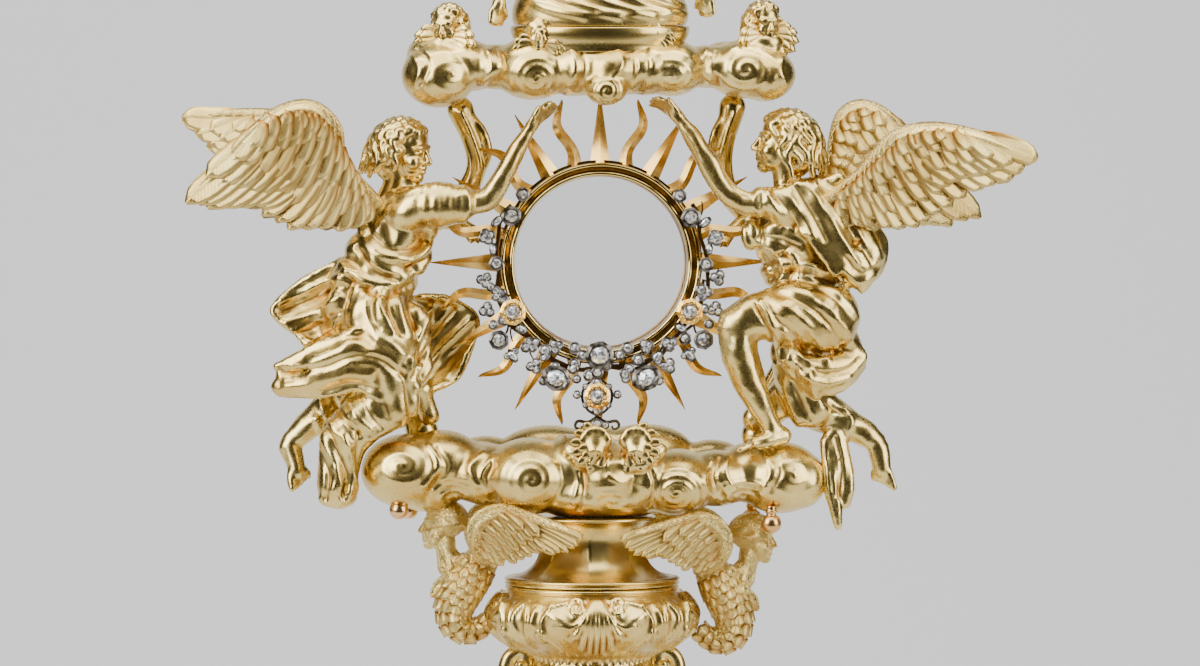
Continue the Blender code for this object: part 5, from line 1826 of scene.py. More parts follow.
LEFT_BALLS = [
    ((-89, 0, 462), (17.6, 12.5, 11)),
    ((-93, 0, 450), (19.5, 13.5, 12)),
    ((-99.5, 0, 437), (19.5, 15, 13)),
    ((-101.5, 0, 425), (20, 16.5, 16)),
    ((-84, -9, 470), (10, 9, 8.5)),
    ((-116, -12.5, 342.5), (8.8, 7, 5.2)),
    ((-86, -13.5, 386), (5.6, 7, 10)),
]


def left_cloth(clay):
    """The sail behind the trunk, the flying skirt, the sail under the arm, and the hands and foot."""
    fan = [
        (-113, 4, 446), (-124, 7, 440.5), (-134, 9, 434), (-143.4, 8, 425), (-141.4, 7, 420),
        (-134, 5, 414.6), (-128, 3, 409), (-121, 1, 405),
    ]
    root = [
        (-107, -6, 441), (-111, -7, 436), (-113, -7, 431), (-115, -7, 426), (-116, -7, 421), (-116, -7, 416),
        (-115, -7, 411), (-113, -7, 407),
    ]
    clay.sheet(fan, root, 2.4, -6.0, 0.0, 1.0, 2.0)
    clay.limb([(*p, 1.7) for p in fan])
    crest = [
        (-129, -6, 406), (-119, -14, 411), (-108, -19, 415.6), (-97, -20, 415.4), (-87, -17.5, 409.5),
        (-80.5, -12, 402),
    ]
    lower = [
        (-141, -6, 388.5), (-128, -13, 387.6), (-116, -16.5, 389), (-106, -18, 391), (-95.5, -20, 385),
        (-83, -14, 395),
    ]
    clay.sheet(crest, lower, 3.6, -4.5, 1.2, 0.9, 0.6)
    clay.limb([(*p, 2.0) for p in crest])
    clay.limb([(*p, 1.8) for p in lower])
    clay.limb([(-100, -8, 404, 12), (-116, -7, 399, 10.5), (-128, -6, 397, 8.6), (-136, -6, 396, 7)])
    clay.limb([(-141, -7, 391, 4.2), (-128, -12, 391, 5), (-108, -16, 396, 5.4)])
    clay.limb([(-142, -7, 400, 2.2), (-130, -11, 405, 3.0), (-112, -17, 413, 3.6)])
    rim = [
        (-80, 3, 430), (-69, 8, 429.4), (-56.5, 11, 423.6), (-53.4, 11, 415.6), (-59, 10, 400.5),
        (-63.4, 9, 393), (-71, 6, 389.4), (-78.6, 4, 386.6),
    ]
    inner = [
        (-86, 0, 429), (-86, 1, 424), (-85, 2, 417), (-84, 3, 411), (-83, 3, 403), (-83, 3, 397),
        (-83, 3, 392), (-83, 2, 388),
    ]
    clay.sheet(rim, inner, 2.4, 6.5, 0.0, 1.2, 2.3)
    clay.limb([(*p, 1.5) for p in rim])
    clay.limb([(-80, 3, 394, 5), (-77, 6, 384, 4.4), (-75, 8, 377, 4.6)])
    clay.limb([(-82, -6, 421, 6.5), (-80.5, -7, 410, 6.5), (-82, -8, 398, 7)])
    add_hand(clay, (-32, -14, 503), (-28.4, -13.4, 508.6), (-19.4, -12, 515), (0.9, 1.9, -1.1))
    add_hand(clay, (-61, 10, 461.4), (-57, 8, 459), (-51.6, 4, 455.4), (0.6, 1.4, 1.6), 1.0)
    add_foot(clay, (-136.0, 10.5, 363.5), (-133.0, 8, 353), (-131.0, 6.4, 345.6), (2.0, 0.6, 0.3), 5.0)


LEFT_FOLDS = [
    (0.3 if i % 2 else -0.22, 1.9, [(-79.5 + i * 2.5, 480.5), (-81 + i * 2.6, 471), (-79.6 + i * 2.5, 462.5)])
    for i in range(8)
]
LEFT_FOLDS += [
    (1.0, 1.7, [(-60.5, 480), (-58.4, 471), (-60.5, 463)]),
    (
        1.7, 2.6,
        [(-106.5, 463), (-103, 455), (-97.6, 449.5), (-90, 447.5), (-81, 448.5), (-74, 455), (-70.5, 461)],
    ),
    (-1.0, 2.4, [(-103.5, 465), (-99.5, 457), (-95, 452.4), (-88, 450.8), (-81, 451.8), (-76.5, 457)]),
    (-0.8, 3.6, [(-93, 474), (-93.5, 465), (-92.5, 455)]),
    (0.9, 5.0, [(-88, 467), (-84.5, 459)]),
    (0.8, 4.0, [(-99, 468), (-99, 460)]),
    (1.1, 2.3, [(-104, 452), (-97, 444), (-87, 440.5)]),
    (-1.1, 2.0, [(-107, 452), (-100, 442.5), (-90, 438)]),
    (1.0, 2.0, [(-74, 458), (-78, 450.5), (-87, 445.5)]),
    (-0.9, 1.8, [(-72, 455), (-76, 447.5), (-85, 443)]),
    (0.9, 1.8, [(-72, 450), (-77, 444), (-84, 441.5)]),
    (1.6, 2.6, [(-113.5, 444.5), (-105, 438.5), (-95, 436), (-85, 439), (-79.5, 442.5)]),
    (-1.4, 2.2, [(-113, 440), (-103, 434), (-94, 431.8), (-84, 435.5)]),
    (1.2, 2.6, [(-113, 439), (-117, 431), (-119.5, 422)]),
    (-1.2, 2.4, [(-110, 436), (-113, 428), (-114.5, 418)]),
    (0.9, 3.4, [(-106, 435), (-109, 426), (-109, 417)]),
    (-1.4, 2.3, [(-101, 432), (-101.5, 424), (-98, 417)]),
    (1.2, 2.2, [(-97, 433), (-97.5, 426), (-92, 416)]),
    (-1.2, 2.0, [(-92.5, 433), (-93, 425), (-88, 415)]),
    (1.1, 2.0, [(-88.5, 434), (-88.5, 425), (-84, 414)]),
    (-1.0, 1.8, [(-84, 434), (-84.5, 426), (-81, 416)]),
    (1.3, 3.0, [(-128, 403), (-116, 408), (-106, 412), (-96, 412), (-87, 406)]),
    (-1.6, 3.2, [(-137, 398), (-122, 400.5), (-110, 405), (-98, 404), (-88, 397)]),
    (1.3, 3.0, [(-138, 392), (-124, 393.5), (-112, 397), (-102, 397)]),
    (-1.0, 2.4, [(-122, 389.5), (-109, 393), (-99, 390.5)]),
    (-1.6, 4.0, [(-107, 413.5), (-102.5, 412)]),
    (-2.6, 3.4, [(-139.5, 397.6), (-131, 398.4)]),
    (-0.8, 2.6, [(-99, 396), (-96, 387), (-93, 378)]),
    (0.8, 3.2, [(-94.5, 397), (-91, 386), (-88, 376)]),
    (-0.9, 2.0, [(-88, 401), (-85.5, 388), (-84, 377)]),
    (0.9, 1.8, [(-84, 404), (-81.8, 390), (-81, 377)]),
    (1.2, 2.2, [(-123, 384), (-119, 375), (-111, 366)]),
    (-1.3, 2.0, [(-118, 386), (-113, 377.5), (-106, 370)]),
    (1.0, 2.0, [(-112, 387), (-108, 379), (-102, 373)]),
    (-1.0, 2.0, [(-105, 388), (-102, 380), (-97, 374)]),
    (1.4, 2.2, [(-124.5, 376), (-121, 366), (-116.5, 356), (-118, 346)]),
    (-1.5, 2.0, [(-120, 373), (-116, 363), (-111.5, 353), (-113, 343)]),
    (1.2, 1.9, [(-113, 371), (-110.6, 361), (-108.4, 351)]),
    (-1.0, 1.7, [(-107, 372), (-107.4, 362), (-106.6, 350)]),
    (-1.1, 1.8, [(-124, 364), (-120.4, 353), (-121.4, 342)]),
    (1.0, 1.8, [(-116.6, 356), (-114.4, 348), (-115, 340)]),
    (-2.6, 3.0, [(-112, 348.6), (-113.4, 344.4)]),
    (1.1, 1.8, [(-102, 369), (-94, 372.4), (-86, 374.4), (-81, 374)]),
    (1.3, 2.0, [(-112, 441), (-126, 434), (-140, 428)]),
    (-1.2, 1.8, [(-113, 436), (-126, 429), (-140, 423)]),
    (1.3, 2.0, [(-114, 430), (-126, 423), (-138, 418.5)]),
    (-1.1, 1.6, [(-115, 424), (-125, 417), (-134, 413.5)]),
    (1.1, 1.8, [(-116, 418), (-124, 412), (-130, 409)]),
    (1.4, 2.2, [(-81, 391), (-71, 405), (-57, 419)]),
    (-1.3, 1.8, [(-83, 396), (-75, 410), (-64, 424)]),
    (1.3, 2.0, [(-84, 403), (-79, 415), (-72, 428)]),
    (-1.2, 1.7, [(-77, 390), (-67, 401), (-56, 411)]),
    (1.1, 1.8, [(-73, 389.6), (-65, 396), (-59, 404)]),
]


def make_angel(word, limbs, balls, cloth, folds, head, curls, seed):
    """Masses, one skin, the drawn folds, then the head."""
    name = f"angel_{word}"
    clay = Clay()
    for rows in limbs:
        clay.limb(rows)
    for centre, radii in balls:
        clay.ball(centre, radii)
    cloth(clay)
    body = clay.skin(name, 0.78, 5)
    chaser = Chaser(body)
    chaser.folds([(h * 0.95, w * 1.3, line) if h > 0 else (h * 0.9, w * 0.95, line) for h, w, line in folds])
    chaser.relax(1)
    chaser.push(0.3 * drift(chaser.points, 13, seed) + 0.07 * drift(chaser.points, 5, seed + 1))
    thin(mark_hollows(body, 1.9, 14), 0.44)
    skull = make_head(name + "_head", *head, voxel=0.45, **curls)
    angel = join(name + "_cast", [body, skull])
    return finish(angel, GILT_CAST, name, shift=CASE_X)


make_angel(
    "left",
    LEFT_BODY,
    LEFT_BALLS,
    left_cloth,
    LEFT_FOLDS,
    ((-85.8, -3, 493.2), 27.0, 62, -6),
    {"seed": 21, "length": 8.5, "lowest": -12.5, "count": 100, "weight": 1.8},
    31,
)

# %% Right angel

RIGHT_BODY = [
    [(96, 0, 420, 15), (91, -1, 432, 13.5), (87, -2, 444, 13), (86, -2, 456, 13.5), (86, -2, 467, 12)],
    [(84, -2, 472, 6.8), (82.5, -3, 482, 6.0), (81.5, -3, 487, 5.8)],
    [(84, -10, 468.5, 8.6), (76, -13, 471, 7.8), (70.4, -14.5, 471.6, 6.8)],
    [
        (74, -14, 471, 5.8), (64, -15.5, 471.4, 5.4), (56.5, -16, 474.6, 5.2), (51, -16, 481.4, 5.0),
        (45, -15.5, 492, 4.6), (39, -15, 501.6, 3.7), (34.4, -14, 508.4, 2.9),
    ],
    [(88, 9, 467, 8.5), (77, 13, 466, 6.4), (67, 14, 463, 4.8), (60, 11, 459, 3.3)],
    [(96, -8, 420.6, 14.5), (82, -12, 423, 12.6), (68, -14, 421.6, 10.6), (60, -15, 418, 9.4)],
    [
        (59.6, -15, 416, 8.8), (60.4, -15, 407, 8.4), (63.6, -14.5, 396.6, 7.8), (67.6, -14, 387, 6.6),
        (72, -13, 378, 5.2), (75.4, -12.5, 372, 4.5),
    ],
    [(96, 7, 418, 13), (92, 7, 402, 11.5), (86, 6, 389, 9.5), (76, 5, 380, 7.6), (68.5, 4, 376, 6)],
    [
        (88, 4, 384, 9.5), (98, 2, 378, 8.6), (108, 0, 374, 7.2), (116, -0.5, 369.6, 6.0),
        (121.5, -1, 365.8, 4.8),
    ],
]
RIGHT_BALLS = [
    ((88, 0, 463), (18, 12.5, 11.5)),
    ((86, 0, 451), (17.5, 13, 12.5)),
    ((88, 0, 440), (17, 13.5, 10.5)),
    ((93, 0, 430), (18, 15, 12)),
    ((96.5, 0, 420), (17.6, 16.5, 15.5)),
    ((66, -9, 457), (4.8, 5.4, 7)),
    ((78, -11, 456), (8, 5, 8)),
    ((59.5, -15.6, 417), (9.2, 8.6, 8.8)),
]


def right_cloth(clay):
    """The rolled sash, the skirt over the knee with its hanging ends, and the hands and feet."""
    outer = [
        (90, -7, 480), (101, -5, 481.4), (108.6, -4, 478), (114.6, -3.5, 470.4), (120.6, -3.5, 461),
        (124.6, -4, 452), (122, -5, 440.6), (113, -6, 434.6),
    ]
    inner = [
        (76, -14, 474), (83, -15.6, 467), (89, -17, 459.6), (94, -18, 453), (98.4, -18, 447),
        (102.6, -17, 442), (106, -14.6, 438.4), (109, -11, 435.6),
    ]
    clay.sheet(outer, inner, 4.6, -4.4, 0.0, 0.0, 0.0)
    clay.limb([(*p, 2.4) for p in outer])
    clay.limb([(*p, 2.2) for p in inner])
    clay.limb([(100, 4, 474, 8), (112, 3, 462, 8), (117, 1, 449, 7.5), (113, -1, 441, 6)])
    clay.limb([(98, -8, 421, 16), (86, -11, 423, 14.4), (78.6, -12.6, 422, 13.0)])
    clay.limb([(86, -4, 406, 11.5), (88, -4, 392, 10.5), (92, -5, 380, 9)])
    hip = [(82, -17, 409), (93, -16, 404), (104, -12, 405), (113.4, -5, 409)]
    hem = [(80.6, -15, 400), (93.6, -14.6, 388), (108.6, -10, 391.6), (115.4, -4, 399)]
    clay.sheet(hip, hem, 3.4, -3.4, 0.0, 0.0, 0.0)
    clay.limb([(*p, 1.9) for p in hem])
    clay.limb([(106, -6, 412, 7.6), (110, -5, 403, 6), (106, -6, 395.6, 4.6)])
    clay.limb([(92, 2, 384, 10.5), (101, 1, 378, 8.6), (107, 0, 374.4, 7.0)])
    clay.limb([(103, -3, 369, 5.0), (105.6, -4, 356, 5.0), (107.6, -5, 345, 4.4), (107.6, -6, 339, 2.8)])
    clay.limb([(100, -5, 366, 3.4), (101, -7, 351, 3.4), (102.8, -8.4, 338, 3.2), (104.4, -8.6, 328.6, 1.7)])
    clay.limb([(99, -9, 481, 2.2), (104.6, -10, 482, 2.6), (108, -9, 476, 2.0), (110, -8, 472, 1.4)])
    add_hand(clay, (34.4, -14, 508.4), (30.4, -13.4, 512.4), (21.6, -12, 517), (-0.7, 1.9, -1.2))
    add_hand(clay, (60, 11, 459), (56.4, 8.6, 457), (51.6, 5, 453.6), (-0.6, 1.4, 1.6), 1.0)
    add_foot(clay, (79.6, -12.4, 369.2), (66.6, -17.6, 366), (60.6, -19.6, 363.8), (0.7, 1.9, 0.2), 4.0)
    add_foot(clay, (122.6, -1, 363), (124.6, -1.8, 353), (125.6, -2.2, 345), (-1.9, 0.7, 0), 4.8)


RIGHT_FOLDS = [
    (1.0, 1.7, [(68.6, 478.6), (66.8, 472), (68.6, 465.4)]),
    (-0.8, 1.5, [(71.4, 479), (69.8, 472), (71.6, 465)]),
    (1.0, 2.2, [(71, 477), (76.5, 468), (80, 460)]),
    (-1.1, 2.0, [(74, 478.6), (80.6, 469.6), (85, 460)]),
    (1.1, 2.1, [(78.6, 479.6), (85.6, 469.6), (92, 457.6)]),
    (-1.0, 2.0, [(83.6, 480), (91, 468.6), (98, 455)]),
    (1.2, 2.3, [(89.6, 480), (97.6, 468), (105.6, 455), (111.6, 445)]),
    (-1.1, 2.2, [(95.6, 480.6), (103.6, 469), (112, 457), (118.6, 445.6)]),
    (1.1, 2.4, [(102.6, 480), (110.6, 468.6), (118, 457.6), (122.8, 447)]),
    (-0.9, 2.0, [(107.6, 447.6), (113.6, 441), (120.6, 443)]),
    (1.0, 2.2, [(105.6, 442.6), (112.6, 437), (119.6, 439)]),
    (-3.6, 2.3, [(111.8, 454.6), (112.6, 453.4)]),
    (-3.0, 2.2, [(104.6, 439), (106, 437.4)]),
    (-1.0, 3.4, [(108.6, 459), (113.6, 452)]),
    (1.0, 2.2, [(70, 460), (78, 461.6), (88, 458)]),
    (-1.0, 2.0, [(69, 456), (77, 456), (87, 452)]),
    (0.9, 2.0, [(68.6, 452), (76, 451), (87, 447.6)]),
    (1.1, 1.6, [(76, 449.6), (80, 444.6), (79, 438)]),
    (-1.2, 1.5, [(79.6, 450), (83.4, 444), (82, 437)]),
    (1.0, 1.6, [(83, 450), (86.6, 444), (86, 437)]),
    (-0.9, 1.5, [(72, 448), (75.6, 443), (74.6, 437)]),
    (-1.0, 1.8, [(63.6, 462), (64.6, 456), (67.6, 451)]),
    (0.9, 1.6, [(67, 463), (68.4, 457), (70.6, 452)]),
    (1.4, 2.2, [(70, 440.6), (80, 444.6), (92, 444), (103, 440)]),
    (-1.2, 2.0, [(71, 436.6), (81, 440.6), (92, 440), (102, 436.4)]),
    (1.0, 2.8, [(78.6, 436.6), (91, 431), (103, 421), (110.6, 409.6)]),
    (-1.2, 2.5, [(74.6, 433), (87, 428.6), (98.6, 419.6), (106, 407.6)]),
    (1.1, 2.6, [(74.6, 428.6), (85.6, 422), (94, 412), (99, 402)]),
    (-1.2, 2.4, [(75.6, 421.6), (83, 414.6), (89, 404.6)]),
    (1.0, 2.2, [(79.6, 415.6), (85.6, 407.6), (91.6, 398)]),
    (-0.8, 2.4, [(90, 437), (101, 431), (110, 421)]),
    (0.7, 2.6, [(97, 437), (107, 430), (113, 421)]),
    (1.4, 1.8, [(69.6, 428), (74, 419.6), (77.6, 410), (79, 402)]),
    (-1.2, 1.7, [(67, 427), (71.4, 419), (75, 409.6), (76.4, 402)]),
    (-1.4, 2.6, [(86, 402.6), (96, 397), (108, 398), (114, 402.6)]),
    (1.0, 2.0, [(88, 396.6), (98, 392), (109, 394.6)]),
    (-1.3, 2.6, [(84, 400), (86, 388), (92, 376)]),
    (1.0, 2.4, [(90, 396), (94, 386.6), (101, 378)]),
    (-1.0, 2.0, [(95.6, 388), (101, 382), (107, 378.6)]),
    (0.9, 2.2, [(79, 393), (82.6, 383), (87, 374)]),
    (1.1, 1.6, [(107.6, 380), (110.6, 375), (109, 369)]),
    (-1.1, 1.7, [(103.6, 368), (106, 355), (105, 342)]),
    (0.9, 1.6, [(108.6, 367), (110.4, 355), (110, 344)]),
    (-0.7, 1.3, [(100.6, 362), (101.6, 350), (103.6, 336)]),
    (-0.6, 2.6, [(66, 413), (69, 402), (72.6, 390)]),
]


make_angel(
    "right",
    RIGHT_BODY,
    RIGHT_BALLS,
    right_cloth,
    RIGHT_FOLDS,
    ((80.4, -3, 496.4), 28.0, -88, 8),
    {"seed": 27, "length": 9.0, "lowest": -13.0, "count": 100, "weight": 1.8},
    41,
)

# %% [markdown]
# ## Struts, ball nuts, upper clouds and the crowning figure
# Two struts of twisted cloth carry the upper bank behind the angels. Four ball nuts of a redder gilding hold
# the lower bank from below. Cherub heads look out of the upper bank on every side. On its collar stands a
# bearded half figure with lowered, open arms, plainer than the angels.

# %% Struts


def make_strut(word, rows, branch, folds):
    """A twisted trunk that forks near its top."""
    clay = Clay()
    clay.limb(rows)
    clay.limb(branch)
    strut = clay.skin(f"strut_{word}_cast", 0.8, 6)
    chaser = Chaser(strut)
    chaser.folds(folds)
    return finish(thin(mark_hollows(strut, 1.8, 10), 0.5), GILT, f"strut_{word}", shift=CASE_X)


LEFT_STRUT = [(-78, 12, 370, 7.4), (-84, 20, 386, 5.0), (-92, 26, 406, 4.6), (-94, 27, 430, 4.6)]
LEFT_STRUT += [(-86, 24, 450, 4.6), (-73, 20, 463, 4.6), (-60, 15, 474, 4.8), (-54, 12, 486, 4.4)]
LEFT_STRUT += [(-56, 11, 498, 4.2), (-61, 10, 512, 6.0)]
RIGHT_STRUT = [(70, 12, 368, 7.0), (76, 20, 386, 5.0), (86, 26, 406, 4.6), (88, 27, 430, 4.6)]
RIGHT_STRUT += [(80, 24, 450, 4.6), (68, 20, 463, 4.6), (58, 16, 474, 4.8), (55, 13, 486, 4.4)]
RIGHT_STRUT += [(56, 11, 498, 4.2), (59, 10, 513, 6.0)]
make_strut(
    "left",
    LEFT_STRUT,
    [(-53, 12, 484, 3.0), (-49, 10, 493, 2.2), (-51, 9, 502, 2.0), (-56, 9, 508, 2.4)],
    [
        (1.0, 1.8, [(-55, 472), (-52, 486), (-56, 500), (-61, 511)]),
        (-1.1, 1.5, [(-58, 474), (-55, 487), (-59, 500)]),
    ],
)
make_strut(
    "right",
    RIGHT_STRUT,
    [(54, 13, 482, 3.0), (50, 11, 492, 2.2), (51, 9, 501, 2.0), (55, 9, 508, 2.4)],
    [
        (1.0, 1.8, [(55, 472), (53, 486), (56, 500), (60, 511)]),
        (-1.1, 1.5, [(59, 474), (57, 487), (59, 500)]),
    ],
)

# %% Ball nuts


def make_nut(name, node):
    low, high = node_box(node)
    radius = (high[0] - low[0]) / 2
    x, y = (low[0] + high[0]) / 2, (low[1] + high[1]) / 2
    outline = [(1.4, high[2]), (2.2, high[2] - 0.1), (2.2, high[2] - 1.6), (2.7, high[2] - 2.2)]
    centre = low[2] + radius
    outline += [
        (radius * math.cos(a), centre + radius * math.sin(a))
        for a in np.radians((62, 40, 20, 0, -20, -45, -70, -86))
    ]
    nut = turned(name, outline, 48, 3)
    nut.data.transform(Matrix.Translation((x, y, 0)))
    even_surface(nut)
    return finish(nut, GILT_RED, node)


GILT_RED = fire_gilding("fire_gilt_red_nuts", burnish=0.20, mottle=1.0, light="EBC08A", deep="DBAA6C")
for word in ("left_front", "left_back", "right_front", "right_back"):
    make_nut(f"nut_{word}", f"ball_nut_{word}")

# %% Upper bank of clouds

UPPER_BANK = [
    ((-71, -4, 527.5), (16.5, 17, 14.5)),
    ((-60, 0, 532), (15, 16, 11.5)),
    ((-74, 2, 536), (11, 13, 9)),
    ((-44, -2, 531), (13, 12, 9.5)),
    ((-30, -8, 530.5), (18, 19, 14)),
    ((-12, -9, 531), (14, 18, 13)),
    ((4, -9, 530.5), (16, 21, 13)),
    ((20, -9, 531), (14, 19, 12.5)),
    ((31, -8, 530.5), (15, 19, 12.5)),
    ((46, 0, 532), (12, 11, 8.5)),
    ((63, -3, 530), (17, 17, 13)),
    ((72, -4, 527.5), (14, 16, 12)),
    ((-24, 12, 532), (20, 16, 12.5)),
    ((20, 12, 532), (20, 16, 12.5)),
    ((-56, 8, 531), (14, 12, 11)),
    ((56, 8, 531), (14, 12, 11)),
    ((1, -9, 531), (40, 18, 12.8)),
    ((-46, -3, 531), (15, 14, 10)),
    ((1.5, -25, 521.6), (9.4, 7.6, 7.2)),
    ((47, -3, 531), (15, 14, 9.5)),
]
UPPER_SWIRLS = [
    ((-66, 528), 17, 4.6, 0.3, 1, -1, 1.1),
    ((-29, 526), 15, 3.4, 0.4, -1),
    ((63, 530), 17, 4.0, 0.4, -1, -1, 1.1),
    ((30, 527), 13, 3.4, 0.35, 1, -1, 1.3),
    ((1.5, 521), 9, 2.3, 0.4, 1),
    ((-62, 528), 18, 4.4, 0.5, 1, 1),
    ((-20, 530), 18, 4.4, 0.5, -1, 1),
    ((22, 530), 18, 4.4, 0.5, 1, 1),
    ((62, 528), 18, 4.4, 0.5, -1, 1),
]
CHERUBS = [
    ((-67, -3, 548.5), 18.5, -25, -4, 61),
    ((-27.5, -18, 545), 14.5, -8, 6, 62),
    ((23, -17, 547.4), 11.0, 12, 0, 63),
    ((72, -4, 549.6), 18.5, 24, -2, 65),
    ((-26, 22, 545), 14.0, 176, 0, 66),
    ((26, 22, 545), 14.0, 188, 0, 67),
]


def make_upper_cloud():
    clay = Clay()
    for centre, radii in UPPER_BANK:
        clay.ball(centre, radii)
    for (x, y, z), size, *_ in CHERUBS:
        clay.ball((x, y * 0.85, z - size * 0.42), (size * 0.5, size * 0.45, size * 0.3))
    cloud = clay.skin("upper_cloud", 0.78, 24)
    chaser = Chaser(cloud)
    chaser.push(sum(swirl(chaser, *row) for row in UPPER_SWIRLS))
    streaks = [
        (0.8, 2.2, [(-84, 537), (-80, 531), (-82, 522)]), (-0.8, 2.0, [(-80, 539), (-76, 533), (-79, 524)]),
    ]
    streaks += [
        (0.9, 2.2, [(-50, 538), (-48, 531), (-52, 524)]), (-0.9, 2.0, [(-46, 539), (-44, 532), (-47, 525)]),
    ]
    streaks += [
        (0.8, 2.2, [(-14, 540), (-12, 531), (-15, 523)]), (-0.9, 2.0, [(-10, 541), (-8, 531), (-11, 522)]),
    ]
    streaks += [(0.8, 2.2, [(14, 541), (16, 531), (13, 522)]), (-0.9, 2.0, [(18, 541), (20, 531), (17, 522)])]
    streaks += [(0.8, 2.2, [(46, 539), (44, 532), (47, 525)]), (-0.8, 2.0, [(50, 538), (48, 531), (51, 524)])]
    streaks += [(0.7, 2.2, [(80, 536), (78, 530), (81, 523)]), (0.7, 2.4, [(6, 541), (8, 533), (4, 527)])]
    chaser.folds(streaks, both=False)
    thin(mark_hollows(cloud, 1.7, 12), 0.34)
    parts = [cloud]
    flock = Flock()
    for i, (place, size, yaw, pitch, seed) in enumerate(CHERUBS):
        low = -7.0 if place[2] > 530 else -4.0
        curls = {"seed": seed, "length": 8.5, "lowest": low, "count": 60, "weight": 1.5}
        parts.append(make_head(f"cherub_{i}", place, size, yaw, pitch, 0.5, **curls))
        frame_of = head_frame(place, size, yaw)
        for side in (-1, 1):
            for row in range(2):
                for k in range(5 - row):
                    angle = math.radians(-62 + k * 26)
                    reach = (19 - 4.4 * row) * (1.0 - 0.04 * k)
                    out_x, up = side * (2.5 + reach * math.cos(angle)), -8 + reach * math.sin(angle) * 0.7
                    tip = frame_of @ Vector((out_x, -4.5 - row, up))
                    base = frame_of @ Vector((side * 4.0, -3.5 - row, -8.0 + 1.0 * k))
                    out = frame_of.to_3x3() @ Vector((side * 0.2, -1, -0.1))
                    flock.add(base, tip, size * 0.27, out, "short", 0.06 * side, camber=0.14)
    cloud.data.uv_layers.new(name="barbs")
    cloud = join("upper_cloud", parts + [flock.object("cherub_plumes")])
    return finish(cloud, GILT_CAST, "cloud_upper", shift=CASE_X)


make_upper_cloud()

# %% Collar


def make_collar():
    low, high = node_box("crown_collar")
    half = (high[0] - low[0]) / 2
    outline = [
        (half - 1.0, high[2]), (half - 0.3, high[2] - 0.4), (half, high[2] - 1.6),
        (half - 0.2, high[2] - 3.4),
    ]
    outline += [
        (half - 1.0, high[2] - 5.4), (half - 2.4, high[2] - 8), (half - 2.8, low[2] + 0.6),
        (half - 3.2, low[2]),
    ]
    collar = turned("collar", outline, 160, 4, (high[1] - low[1]) / (high[0] - low[0]))
    collar.data.transform(Matrix.Translation(((low[0] + high[0]) / 2, (low[1] + high[1]) / 2, 0)))
    return finish(mark_hollows(collar, 1.6, 6), GILT, "crown_collar")


make_collar()

# %% Crowning figure


def crown_beard(clay):
    """A full beard in locks round the jaw."""
    for i in range(9):
        angle = math.radians(-80 + i * 20)
        x, y = 5.6 * math.sin(angle), -5.6 - 1.6 * math.cos(angle)
        clay.limb([(x, y + 1.2, -5.4, 1.7), (x * 0.9, y - 0.4, -10, 1.7), (x * 0.55, y - 0.6, -14.5, 1.2)], 4)


